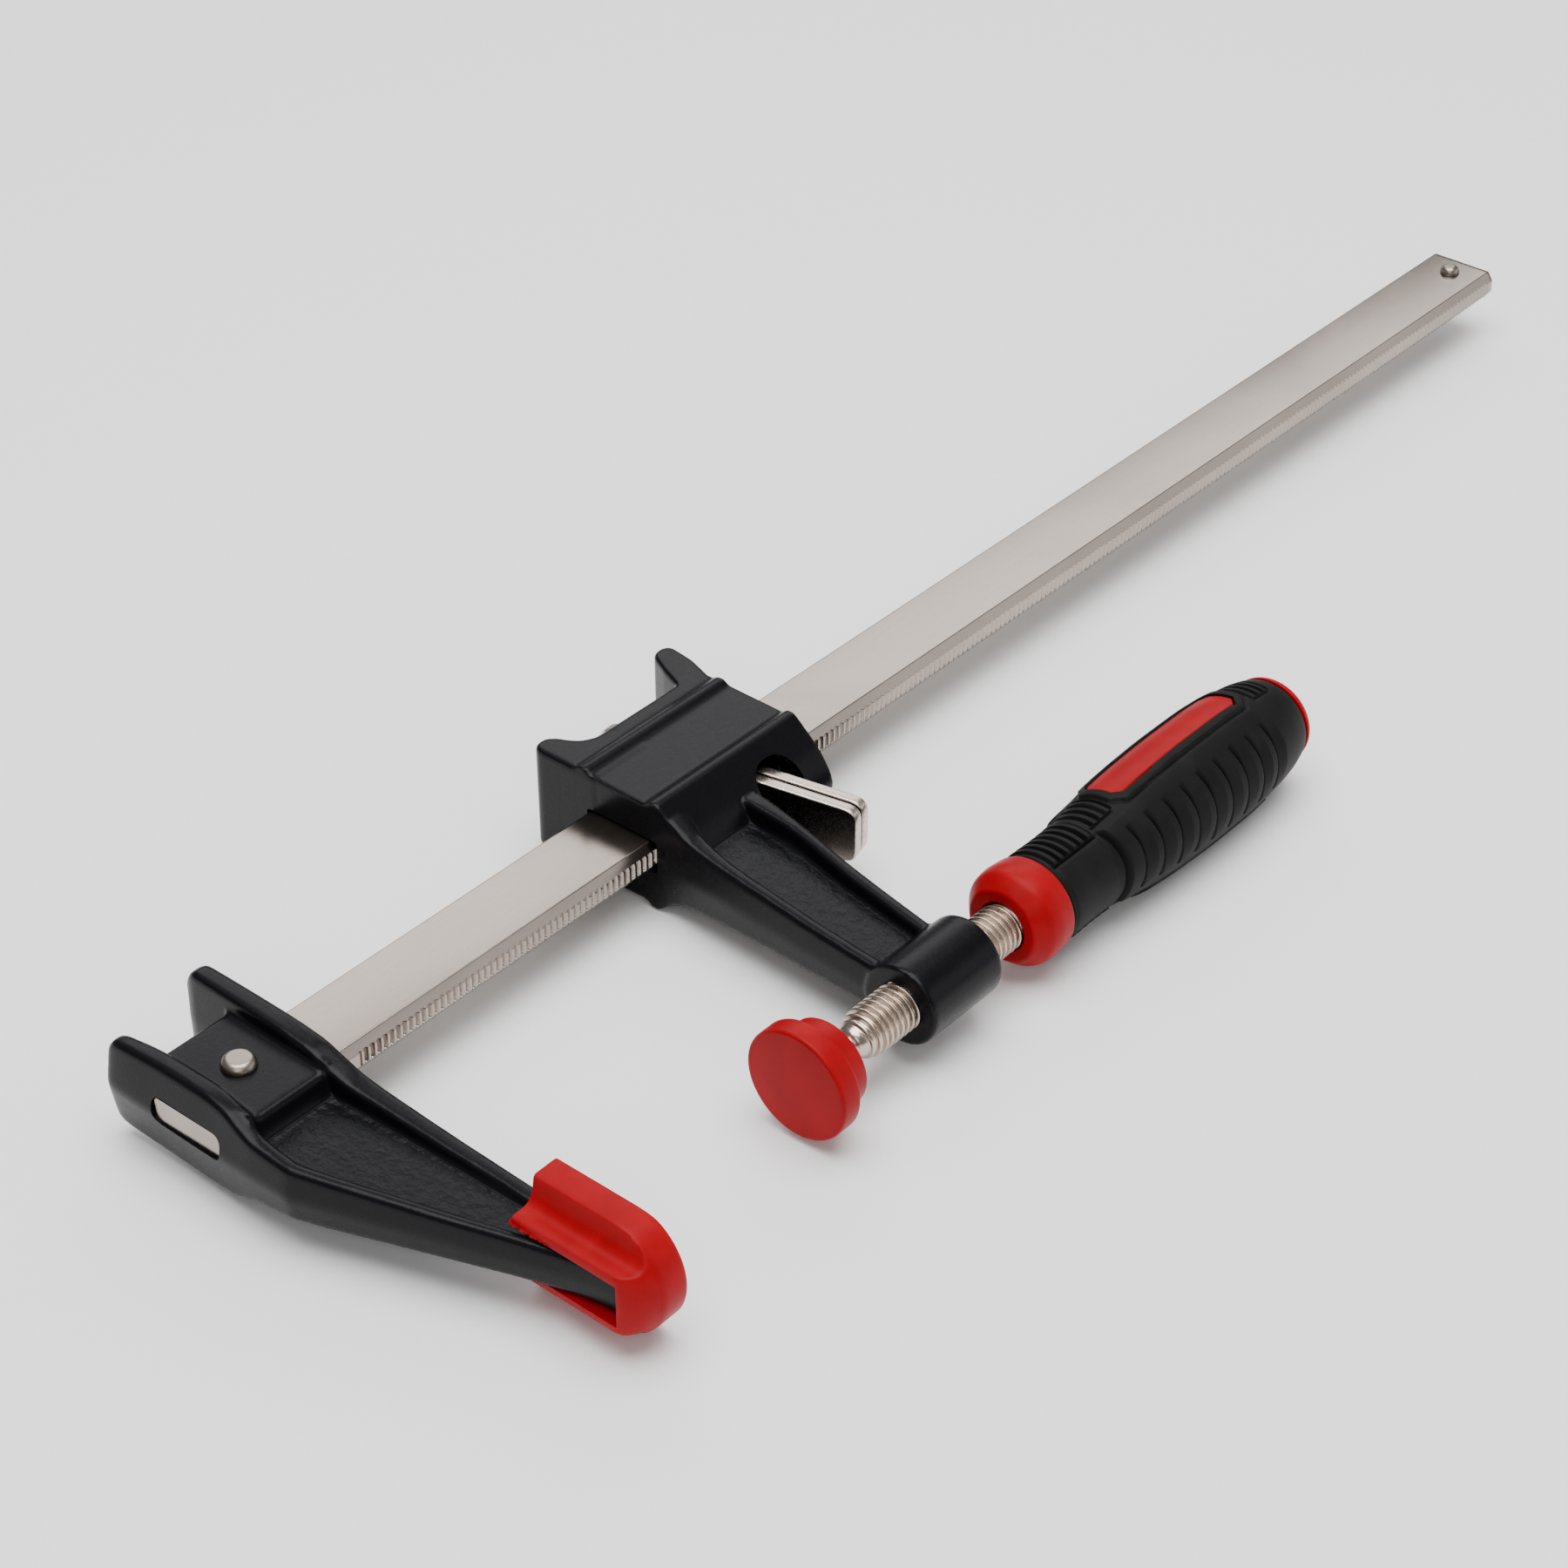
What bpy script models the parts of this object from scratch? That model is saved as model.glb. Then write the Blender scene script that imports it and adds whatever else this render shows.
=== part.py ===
"""F-style bar clamp: toothed flat bar, fixed jaw with a slip-on soft face, sliding jaw with
a two-plate clutch, screw spindle with swivel pad and a two-material screwdriver-type handle.

Design coordinates are millimetres: X runs along the bar with X = 0 on the fixed clamping face,
Y = 0 is the bar's centre line (the arms reach toward -Y), Z = 0 is the bar's middle plane.
SHIFT moves the whole tool so that the world origin is the bottom centre of its bounding box.
"""
import math

import bmesh
import bpy
from mathutils import Matrix, Vector

# ---------------------------------------------------------------- driving dimensions (mm)
MM = 0.001
BAR_END = 388.0            # free end of the bar
BAR_START = -26.3          # bar end inside the fixed jaw
BAR_HALF_W = 8.5
BAR_HALF_T = 3.4
RIM_HALF_T = 1.35          # half thickness of the toothed rim
BEVEL_Y = 7.1              # where the front bevel meets the flat faces
TOOTH_PITCH = 1.5875       # one sixteenth of an inch
TOOTH_DEPTH = 0.5
TEETH_PER_SEGMENT = 8
TOOTH_SEGMENTS = 30

THROAT_Y = -71.5           # spindle axis
JAW_OUT_X = -28.4          # outermost point of the fixed jaw, on its parting plane
HORN_Y = 27.6              # rearmost point of the sliding jaw
CAP_TIP_Y = -90.2          # outer end of the soft face
RIB_Z = 12.6               # ribs on the sliding jaw, the lowest and highest points

HOUSING_X0 = 82.6
HOUSING_X1 = 123.4
BOSS_X0 = 78.0
BOSS_X1 = 98.0
BOSS_R = 8.25
BORE_R = 4.94
SPINDLE_R = 4.85
THREAD_ROOT_R = 4.0
THREAD_PITCH = 1.5
THREAD_X0 = 68.4
THREAD_X1 = 109.4

CLUTCH_PIVOT = (106.9, -13.0)
CLUTCH_TILT = math.radians(13.5)
PLATE_T = 2.5
PLATE_GAP = 0.5

PAD_X = 49.0               # front face of the swivel pad
BALL_X = 55.4
STOP_RIVET_X = 381.4
JAW_RIVET_X = -15.0

SHIFT = Vector((-(BAR_END + JAW_OUT_X) / 2.0, -(HORN_Y + CAP_TIP_Y) / 2.0, RIB_Z))


# ---------------------------------------------------------------- scene helpers
def clear_scene():
    for obj in list(bpy.data.objects):
        bpy.data.objects.remove(obj, do_unlink=True)
    for mesh in list(bpy.data.meshes):
        bpy.data.meshes.remove(mesh)
    for mat in list(bpy.data.materials):
        bpy.data.materials.remove(mat)


def principled(name, colour, roughness, metallic):
    mat = bpy.data.materials.new(name)
    mat.use_nodes = True
    shader = mat.node_tree.nodes["Principled BSDF"]
    shader.inputs["Base Color"].default_value = (*colour, 1.0)
    shader.inputs["Roughness"].default_value = roughness
    shader.inputs["Metallic"].default_value = metallic
    mat.diffuse_color = (*colour, 1.0)
    return mat


def finish(name, bm, mat=None, origin=(0.0, 0.0, 0.0), turn=0.0, smooth=None):
    """Make an object of bm, whose points are design mm relative to origin, turned about Z."""
    bmesh.ops.recalc_face_normals(bm, faces=bm.faces[:])
    bmesh.ops.scale(bm, vec=(MM, MM, MM), verts=bm.verts[:])
    mesh = bpy.data.meshes.new(name)
    bm.to_mesh(mesh)
    bm.free()
    obj = bpy.data.objects.new(name, mesh)
    bpy.context.scene.collection.objects.link(obj)
    obj.location = (Vector(origin) + SHIFT) * MM
    obj.rotation_euler = (0.0, 0.0, turn)
    if mat is not None:
        mesh.materials.append(mat)
    if smooth is not None:
        mesh.shade_smooth()
        mesh.set_sharp_from_angle(angle=math.radians(smooth))
    return obj


def loft(bm, rings, closed=False):
    """Skin equal-length rings of points; cap both ends, or join last to first."""
    rows = [[bm.verts.new(p) for p in ring] for ring in rings]
    count = len(rows[0])
    pairs = list(zip(rows, rows[1:]))
    if closed:
        pairs.append((rows[-1], rows[0]))
    for low, high in pairs:
        for i in range(count):
            j = (i + 1) % count
            bm.faces.new((low[i], low[j], high[j], high[i]))
    if not closed:
        bm.faces.new(rows[0])
        bm.faces.new(list(reversed(rows[-1])))
    return bm


def prism_z(outline, z0, z1):
    """Solid between two heights with an X, Y outline."""
    return loft(bmesh.new(), [[(x, y, z) for x, y in outline] for z in (z0, z1)])


def prism_x(outline, x0, x1):
    """Solid between two X planes with a Y, Z outline."""
    return loft(bmesh.new(), [[(x, y, z) for y, z in outline] for x in (x0, x1)])


def prism_y(outline, y0, y1):
    """Solid between two Y planes with an X, Z outline."""
    return loft(bmesh.new(), [[(x, y, z) for x, z in outline] for y in (y0, y1)])


def lathe_x(profile, steps, cy=0.0, cz=0.0, closed=False):
    """Turn an (x, r) profile about the X direction through (cy, cz)."""
    rings = []
    for x, r in profile:
        angles = [2.0 * math.pi * k / steps for k in range(steps)]
        rings.append([(x, cy + r * math.cos(a), cz + r * math.sin(a)) for a in angles])
    return loft(bmesh.new(), rings, closed)


def lathe_z(profile, steps, cx=0.0, cy=0.0):
    """Turn a (z, r) profile about the Z direction through (cx, cy)."""
    rings = []
    for z, r in profile:
        angles = [2.0 * math.pi * k / steps for k in range(steps)]
        rings.append([(cx + r * math.cos(a), cy + r * math.sin(a), z) for a in angles])
    return loft(bmesh.new(), rings)


def mirrored(points):
    """Close an upper outline (given from rear to front) with its mirror image in Z."""
    lower = [(y, -z) for y, z in reversed(points) if abs(z) > 1e-6]
    return points + lower


def rounded_box(x0, x1, z0, z1, r, steps=4):
    """Rounded rectangle outline as a list of points."""
    corners = ((x1 - r, z1 - r, 0.0), (x0 + r, z1 - r, 90.0), (x0 + r, z0 + r, 180.0), (x1 - r, z0 + r, 270.0))
    points = []
    for cx, cz, start in corners:
        for k in range(steps + 1):
            a = math.radians(start + 90.0 * k / steps)
            points.append((cx + r * math.cos(a), cz + r * math.sin(a)))
    return points


def boolean(obj, bm, operation, name, origin=(0.0, 0.0, 0.0), turn=0.0):
    """Add an exact boolean against a hidden tool body."""
    tool = finish(name, bm, origin=origin, turn=turn)
    tool.hide_render = True
    tool.display_type = "WIRE"
    mod = obj.modifiers.new(name, "BOOLEAN")
    mod.operation = operation
    mod.solver = "EXACT"
    mod.object = tool
    return tool


def wall(stations, below=0.0):
    """Upright wall along Y. Each station is (y, outer x, inner x, half height, draft)."""
    rings = []
    for y, x_out, x_in, h, draft in stations:
        low = h * (1.0 + below)
        side = 1.0 if x_in > x_out else -1.0
        edge = 0.6 * side
        rings.append([
            (x_out - draft * side, y, 0.0), (x_out, y, h - 0.6), (x_out + edge, y, h),
            (x_in - edge, y, h), (x_in, y, h - 0.6), (x_in + 0.4 * draft * side, y, 0.0),
            (x_in, y, 0.6 - low), (x_in - edge, y, -low), (x_out + edge, y, -low), (x_out, y, 0.6 - low)])
    return loft(bmesh.new(), rings)


# ---------------------------------------------------------------- bar and rivets
def build_bar(mat):
    """Flat bar whose bevelled front rim carries a row of grip teeth."""
    w, t, b, r = BAR_HALF_W, BAR_HALF_T, BEVEL_Y, RIM_HALF_T
    slope = (t - r) / (w - b)
    root_y = -(w - TOOTH_DEPTH)
    root_z = r + slope * TOOTH_DEPTH
    bm = bmesh.new()

    def section(x):
        outline = [(w, t - 0.6), (w - 0.6, t), (-b, t), (-w, r), (-w, -r), (-b, -t), (w - 0.6, -t), (w, 0.6 - t)]
        return [bm.verts.new((x, y, z)) for y, z in outline]

    length = TEETH_PER_SEGMENT * TOOTH_PITCH
    first_x = BAR_END - 2.0 - TOOTH_SEGMENTS * length
    row = section(BAR_START)
    bm.faces.new(row)
    nxt = section(first_x)
    for i in range(8):
        bm.faces.new((row[i], row[(i + 1) % 8], nxt[(i + 1) % 8], nxt[i]))
    row = nxt
    for seg in range(TOOTH_SEGMENTS):
        x0 = first_x + seg * length
        nxt = section(x0 + length)
        for i in (0, 1, 5, 6, 7):
            bm.faces.new((row[i], row[(i + 1) % 8], nxt[(i + 1) % 8], nxt[i]))
        upper, lower = [row[3]], [row[4]]
        for k in range(TEETH_PER_SEGMENT):
            xr = x0 + (k + 0.5) * TOOTH_PITCH
            upper.append(bm.verts.new((xr, root_y, root_z)))
            lower.append(bm.verts.new((xr, root_y, -root_z)))
            if k < TEETH_PER_SEGMENT - 1:
                xc = x0 + (k + 1.0) * TOOTH_PITCH
                upper.append(bm.verts.new((xc, -w, r)))
                lower.append(bm.verts.new((xc, -w, -r)))
        upper.append(nxt[3])
        lower.append(nxt[4])
        for a, c, d, e in zip(upper, upper[1:], lower[1:], lower):
            bm.faces.new((a, e, d, c))
        bm.faces.new([row[2]] + upper + [nxt[2]])
        bm.faces.new([nxt[5]] + list(reversed(lower)) + [row[5]])
        row = nxt
    nxt = section(BAR_END)
    for i in range(8):
        bm.faces.new((row[i], row[(i + 1) % 8], nxt[(i + 1) % 8], nxt[i]))
    bm.faces.new(list(reversed(nxt)))
    bar = finish("bar", bm, mat)
    boolean(bar, lathe_z([(-5.0, 2.1), (5.0, 2.1)], 24, JAW_RIVET_X, 0.0), "DIFFERENCE", "tool_bar_hole_jaw")
    boolean(bar, lathe_z([(-5.0, 1.7), (5.0, 1.7)], 24, STOP_RIVET_X, 0.0), "DIFFERENCE", "tool_bar_hole_stop")
    return bar


def build_rivets(mat):
    head = [(8.95, 1.55), (8.55, 2.35), (7.9, 2.85), (7.3, 2.95)]
    profile = [(-z, r) for z, r in head] + [(-7.3, 2.0)] + [(7.3, 2.0)] + list(reversed(head))
    finish("fixed_jaw_rivet", lathe_z(profile, 28, JAW_RIVET_X, 0.0), mat, smooth=35)
    head = [(5.2, 0.6), (4.95, 1.3), (4.4, 1.95), (3.9, 2.25), (3.5, 2.3)]
    profile = [(-z, r) for z, r in head] + [(-3.5, 1.6)] + [(3.5, 1.6)] + list(reversed(head))
    finish("end_stop_rivet", lathe_z(profile, 24, STOP_RIVET_X, 0.0), mat, smooth=35)


# ---------------------------------------------------------------- fixed jaw and its soft face
OUTER_WALL = (
    (21.0, -26.0, -23.2, 7.0, 1.2), (20.0, -26.2, -22.9, 8.3, 1.5), (18.2, -26.2, -22.7, 8.8, 1.7),
    (9.0, -26.0, -22.0, 9.3, 2.1), (-3.0, -26.1, -22.0, 9.6, 2.3), (-9.0, -26.6, -22.6, 9.1, 1.8),
    (-12.5, -27.0, -23.3, 7.7, 1.4), (-16.5, -27.3, -24.1, 6.3, 1.1), (-24.0, -27.2, -24.2, 5.5, 1.0),
    (-27.5, -26.3, -23.4, 5.35, 0.9), (-40.0, -22.2, -19.4, 4.9, 0.8), (-54.0, -17.5, -14.8, 4.4, 0.6),
    (-66.0, -13.4, -10.8, 4.1, 0.5), (-76.0, -10.6, -8.2, 3.9, 0.4), (-84.4, -9.4, -7.0, 3.8, 0.3))
INNER_WALL = (
    (23.6, -2.7, -5.5, 8.2, 0.6), (22.6, -2.3, -5.9, 9.8, 0.9), (21.0, -1.9, -6.3, 10.4, 1.0),
    (2.0, -1.8, -6.6, 10.0, 1.0), (-9.0, -1.8, -6.8, 9.3, 0.9), (-12.5, -1.8, -6.8, 7.8, 0.7),
    (-16.5, -1.8, -6.6, 6.3, 0.5), (-26.0, -1.8, -6.2, 5.5, 0.4), (-40.0, -1.9, -5.8, 4.9, 0.3),
    (-60.0, -2.0, -5.4, 4.2, 0.2), (-84.4, -2.1, -5.2, 3.8, 0.1))


def build_fixed_jaw(mat):
    """I-section casting: two flanges, a block round the bar and a recessed tapering arm."""
    jaw = finish("fixed_jaw", wall(OUTER_WALL, 0.07), mat, smooth=30)
    boolean(jaw, wall(INNER_WALL), "UNION", "tool_jaw_inner_flange")
    block = [(-23.3, 12.1), (-22.6, -14.2), (-6.2, -14.2), (-6.2, 12.1)]
    rings = []
    for z, grow in ((-7.2, -1.6), (-2.5, 0.0), (2.5, 0.0), (7.2, -1.6)):
        rings.append([(x, y if y > 0.0 else y - grow * 1.1, z) for x, y in block])
    boolean(jaw, loft(bmesh.new(), rings), "UNION", "tool_jaw_block")
    web = [(-22.6, -11.0), (-24.8, -22.0), (-20.2, -40.0), (-15.6, -54.0), (-11.6, -66.0), (-9.0, -76.0),
           (-7.9, -83.8), (-4.2, -83.8), (-4.4, -60.0), (-5.0, -40.0), (-5.4, -11.0)]
    rings = [[(x, y, z) for x, y in web] for z in (-2.6, 2.6)]
    boolean(jaw, loft(bmesh.new(), rings), "UNION", "tool_jaw_web")
    hole = lathe_z([(-10.0, 2.15), (10.0, 2.15)], 24, JAW_RIVET_X, 0.0)
    boolean(jaw, hole, "DIFFERENCE", "tool_jaw_rivet_hole")
    slot = rounded_box(-8.73, 8.74, -3.65, 3.64, 1.3, 3)
    boolean(jaw, prism_x(slot, -40.0, 8.0), "DIFFERENCE", "tool_jaw_bar_slot")
    return jaw


def build_cap(mat):
    """Soft face: thick round-ended plate with a channel behind it that slips over the arm."""
    bend = CAP_TIP_Y + 12.0
    outline = [(-62.0, 11.5), (bend, 11.5)]
    for k in range(1, 9):
        a = math.radians(90.0 - 90.0 * k / 8.0)
        outline.append((bend - 12.0 * math.cos(a), 11.5 * math.sin(a)))
    plate = mirrored(outline)
    rings = [[(x, y, z) for y, z in plate] for x in (-5.8, 0.0)]
    cap = finish("fixed_jaw_cap", loft(bmesh.new(), rings), mat, smooth=30)
    profile = ((-5.0, 8.8), (-6.6, 7.2), (-8.2, 6.2), (-10.4, 6.2), (-11.6, 5.6))
    rings = []
    for x, h in profile:
        tip = CAP_TIP_Y + 0.5 + 0.12 * (-5.0 - x)
        rings.append([(x, -61.4, h), (x, -84.0, h), (x, -88.0, h * 0.82), (x, tip, h * 0.4),
                      (x, tip, -h * 0.4), (x, -88.0, -h * 0.82), (x, -84.0, -h), (x, -61.4, -h)])
    boolean(cap, loft(bmesh.new(), rings), "UNION", "tool_cap_body")
    channel = [(-14.0, -60.0), (-14.0, -84.7), (-1.5, -84.7), (-1.5, -60.0)]
    boolean(cap, prism_z(channel, -4.5, 4.5), "DIFFERENCE", "tool_cap_channel")
    return cap


# ---------------------------------------------------------------- sliding jaw and clutch
HOUSING = [(16.2, 11.5), (11.6, 11.7), (10.6, 12.5), (9.6, RIB_Z), (7.8, 11.4), (-6.2, 11.4), (-7.4, 12.3),
           (-8.6, 12.3), (-10.8, 10.8), (-12.9, 8.9), (-15.2, 6.8), (-17.2, 4.2), (-18.5, 1.8), (-18.9, 0.0)]
FRONT_WALL = (
    (-10.0, 82.9, 86.8, 9.6, 0.5), (-15.0, 82.3, 86.0, 8.2, 0.7), (-17.5, 82.0, 85.5, 7.4, 0.8),
    (-27.0, 81.3, 84.5, 6.6, 0.8), (-38.0, 80.6, 83.6, 5.9, 0.7), (-49.0, 79.8, 82.7, 5.3, 0.6),
    (-66.0, 78.7, 81.4, 4.6, 0.5))
REAR_WALL = (
    (-10.0, 105.6, 101.6, 8.4, 0.4), (-16.0, 104.3, 100.6, 7.0, 0.5), (-24.0, 103.1, 99.8, 6.6, 0.6),
    (-45.0, 98.9, 95.9, 5.4, 0.6), (-66.0, 95.2, 92.4, 4.7, 0.5))


def build_sliding_jaw(mat):
    """Casting: ribbed housing round the bar, two rear horns, recessed arm and spindle boss."""
    outline = mirrored(HOUSING)
    jaw = finish("sliding_jaw", prism_x(outline, HOUSING_X0, HOUSING_X1), mat, smooth=30)
    near = [(83.2, 8.0), (83.2, 21.4), (84.4, 22.7), (86.4, 22.8), (88.0, 21.4), (89.0, 19.0),
            (90.8, 17.2), (93.6, 15.9), (98.0, 15.5), (98.0, 8.0)]
    boolean(jaw, prism_z(near, -11.3, 11.3), "UNION", "tool_slide_near_horn")
    far = [(115.0, 9.0), (115.2, 15.2), (117.2, 16.4), (119.4, 21.4), (121.8, 26.4), (123.2, HORN_Y),
           (125.0, HORN_Y), (126.2, 26.2), (125.6, 20.0), (122.9, 12.0), (122.9, 9.0)]
    boolean(jaw, prism_z(far, -11.1, 11.1), "UNION", "tool_slide_far_horn")
    boolean(jaw, wall(FRONT_WALL), "UNION", "tool_slide_front_flange")
    boolean(jaw, wall(REAR_WALL), "UNION", "tool_slide_rear_flange")
    web = [(84.2, -12.0), (81.0, -66.0), (93.4, -66.0), (102.6, -16.0), (103.0, -12.0)]
    boolean(jaw, prism_z(web, -2.9, 2.9), "UNION", "tool_slide_web")
    boss = [(BOSS_X0, BOSS_R - 0.9), (BOSS_X0 + 0.9, BOSS_R), (BOSS_X1 - 0.9, BOSS_R), (BOSS_X1, BOSS_R - 0.9)]
    boolean(jaw, lathe_x(boss, 40, THROAT_Y), "UNION", "tool_slide_boss")
    passage = rounded_box(-8.75, 8.75, -3.65, 3.65, 1.0, 3)
    boolean(jaw, prism_x(passage, 70.0, 135.0), "DIFFERENCE", "tool_slide_bar_passage")
    cavity = [(95.6, -11.0), (119.2, -11.0), (119.2, 9.4), (114.8, 15.4), (114.8, 30.0), (95.6, 30.0)]
    boolean(jaw, prism_z(cavity, -8.1, 8.1), "DIFFERENCE", "tool_slide_clutch_cavity")
    window = rounded_box(105.5, 120.8, -7.7, 7.7, 3.2, 4)
    boolean(jaw, prism_y(window, -30.0, -9.0), "DIFFERENCE", "tool_slide_window")
    bore = lathe_x([(BOSS_X0 - 3.0, BORE_R), (BOSS_X1 + 3.0, BORE_R)], 48, THROAT_Y)
    boolean(jaw, bore, "DIFFERENCE", "tool_slide_bore")
    return jaw


def build_clutch_plate(name, layer, mat):
    """Hardened plate with a slot round the bar, a thumb end and a round rear end."""
    x0 = layer * (PLATE_T + PLATE_GAP)
    tilt = CLUTCH_TILT
    outline = [(-21.4, 4.6), (-21.0, 5.6), (-20.0, 6.1), (2.0, 6.8), (31.5, 7.2)]
    for k in range(1, 7):
        a = math.radians(90.0 - 90.0 * k / 6.0)
        outline.append((31.5 + 5.6 * math.cos(a), 7.2 * math.sin(a)))
    plate = mirrored(outline)
    obj = finish(name, prism_x(plate, x0, x0 + PLATE_T), mat, (*CLUTCH_PIVOT, 0.0), tilt, smooth=30)
    middle = x0 + PLATE_T / 2.0
    centre = (-CLUTCH_PIVOT[1] - middle * math.sin(tilt)) / math.cos(tilt)
    half = (BAR_HALF_W / math.cos(tilt)) + PLATE_T * math.tan(tilt) / 2.0 + 0.2
    slot = rounded_box(centre - half, centre + half, -3.7, 3.7, 0.6, 2)
    cutter = prism_x(slot, x0 - 1.0, x0 + PLATE_T + 1.0)
    boolean(obj, cutter, "DIFFERENCE", "tool_" + name + "_slot", (*CLUTCH_PIVOT, 0.0), tilt)
    return obj


# ---------------------------------------------------------------- spindle, pad and handle
def build_spindle(mat):
    """Rod with a ball end, neck, chamfer and a right-hand thread of THREAD_PITCH."""
    steps, per_pitch = 18, 6
    rings = []

    def ring(x, radius):
        row = []
        for k in range(steps):
            a = 2.0 * math.pi * k / steps
            r = radius(a) if callable(radius) else radius
            row.append((x, r * math.cos(a), r * math.sin(a)))
        rings.append(row)

    for k in range(1, 9):
        a = math.radians(180.0 * k / 11.0)
        ring(BALL_X - 3.0 * math.cos(a), 3.0 * math.sin(a))
    ring(58.4, 2.2)
    ring(63.6, 2.2)
    ring(64.6, 2.9)
    ring(66.8, 3.7)
    count = int(round((THREAD_X1 - THREAD_X0) / THREAD_PITCH * per_pitch))
    for i in range(count + 1):
        x = THREAD_X0 + i * THREAD_PITCH / per_pitch
        fade = min(1.0, i / 5.0, (count - i) / 4.0)

        def helix(a, x=x, fade=fade):
            phase = (x / THREAD_PITCH - a / (2.0 * math.pi)) % 1.0
            wave = min(1.0, max(0.0, 1.5 - 4.0 * abs(phase - 0.5)))
            return THREAD_ROOT_R + (SPINDLE_R - THREAD_ROOT_R) * wave * fade
        ring(x, helix)
    ring(THREAD_X1 + 0.6, 4.6)
    ring(147.0, 4.6)
    bm = loft(bmesh.new(), rings)
    return finish("spindle", bm, mat, (0.0, THROAT_Y, 0.0), smooth=35)


def build_pad(steel, red):
    axis = (BALL_X, THROAT_Y, 0.0)
    profile = [(-3.35, 0.9), (-2.9, 1.7), (-2.2, 2.4), (-1.2, 2.95), (0.0, 3.2), (1.0, 3.2), (1.8, 3.0),
               (1.8, 7.7), (-4.3, 7.7)]
    finish("pad_swivel_plate", lathe_x(profile, 32), steel, axis, smooth=35)
    profile = [(-4.7, 7.9), (2.0, 7.9), (2.0, 7.3), (2.8, 7.3), (3.1, 7.7), (2.9, 8.6), (-1.2, 9.1),
               (-1.7, 10.0), (-2.1, 11.2), (-5.7, 11.2), (-6.2, 11.0), (-6.4, 10.4)]
    finish("pad_cap", lathe_x(profile, 40), red, axis, smooth=35)
    profile = [(3.1, 2.45), (4.0, 2.45), (4.0, 4.0), (3.1, 4.0)]
    finish("neck_clip", lathe_x(profile, 24, closed=True), steel, axis, smooth=35)


GRIP = ((137.0, 10.1), (145.0, 11.3), (155.0, 12.05), (165.0, 12.35), (175.0, 12.3), (185.0, 11.7),
        (190.0, 10.9), (194.0, 10.0), (196.2, 9.2))
LABEL = ((143.0, 0.0), (143.2, 3.4), (144.4, 4.4), (181.4, 4.4), (182.8, 3.2), (183.2, 0.0))
LABEL_TURN = math.radians(-19.5)


def label_prism(grow, z0, z1):
    """Radial block with the label's outline, turned about the handle axis."""
    mid = (LABEL[0][0] + LABEL[-1][0]) / 2.0
    half = [(x + math.copysign(grow, x - mid), y + (grow if y > 0.0 else 0.0)) for x, y in LABEL]
    bm = prism_z(half + [(x, -y) for x, y in reversed(half) if y > 0.0], z0, z1)
    bmesh.ops.rotate(bm, cent=(0.0, 0.0, 0.0), matrix=Matrix.Rotation(LABEL_TURN, 3, "X"), verts=bm.verts[:])
    return bm


def build_handle(red, rubber):
    """Rigid core with front collar, label island and end rim, inside a soft ribbed grip."""
    origin = (0.0, THROAT_Y, 0.0)
    profile = [(148.0, 4.8), (110.4, 4.8), (110.4, 5.1), (108.2, 5.1), (108.2, 7.4), (109.0, 8.4), (110.8, 9.6),
               (113.0, 10.2), (115.4, 10.1), (117.4, 9.6), (118.0, 9.0), (118.0, 7.2), (196.5, 7.2),
               (196.5, 9.0), (197.4, 8.8), (198.4, 8.0), (199.0, 6.6), (199.2, 5.0)]
    core = finish("handle_core", lathe_x(profile, 40), red, origin, smooth=35)
    island = label_prism(0.0, 5.0, 14.0)
    island_obj = boolean(core, island, "UNION", "tool_label_island", origin)
    skin = [(140.0, 5.0)] + [(x, r + 0.2) for x, r in GRIP[1:-1]] + [(194.6, 5.0)]
    trim = finish("tool_label_trim", lathe_x(skin, 40), origin=origin)
    trim.hide_render = True
    trim.display_type = "WIRE"
    mod = island_obj.modifiers.new("trim", "BOOLEAN")
    mod.operation = "INTERSECT"
    mod.solver = "EXACT"
    mod.object = trim

    ribs = []
    for k in range(6):
        x = 119.2 + 2.1 * k
        ribs += [(x, 9.5), (x + 1.1, 9.5), (x + 1.4, 8.8), (x + 1.8, 8.8)]
    profile = [(118.4, 7.45), (118.4, 9.1)] + ribs + [(132.4, 9.4)] + list(GRIP) + [(196.2, 7.45)]
    grip = finish("handle_grip", lathe_x(profile, 40, closed=True), rubber, origin, smooth=35)
    boolean(grip, label_prism(0.25, 4.0, 15.0), "DIFFERENCE", "tool_label_window", origin)


def main():
    clear_scene()
    nickel = principled("nickel_bar", (0.60, 0.55, 0.51), 0.28, 1.0)
    bright = principled("nickel_rivet", (0.66, 0.60, 0.54), 0.22, 1.0)
    plate = principled("nickel_clutch", (0.55, 0.51, 0.47), 0.32, 1.0)
    thread = principled("nickel_thread", (0.46, 0.41, 0.36), 0.30, 1.0)
    cast = principled("black_casting", (0.025, 0.025, 0.028), 0.42, 0.0)
    red = principled("red_plastic", (0.64, 0.018, 0.022), 0.42, 0.0)
    rubber = principled("black_rubber", (0.022, 0.022, 0.024), 0.72, 0.0)
    build_bar(nickel)
    build_rivets(bright)
    build_fixed_jaw(cast)
    build_cap(red)
    build_sliding_jaw(cast)
    build_clutch_plate("clutch_plate_front", 0, plate)
    build_clutch_plate("clutch_plate_rear", 1, plate)
    build_spindle(thread)
    build_pad(thread, red)
    build_handle(red, rubber)


main()
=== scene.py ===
"""Looks of an F clamp: nickel bar and screw, enamelled castings, soft red faces and a ribbed grip.

Lengths inside the script are millimetres in the maker's own axes: X runs along the bar from the
fixed clamping face, Y = 0 is the middle of the bar and the arms reach toward -Y, Z = 0 is the
bar's middle plane. SHIFT, read from the frame, turns them into the frame's metres.
"""

import math

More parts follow.
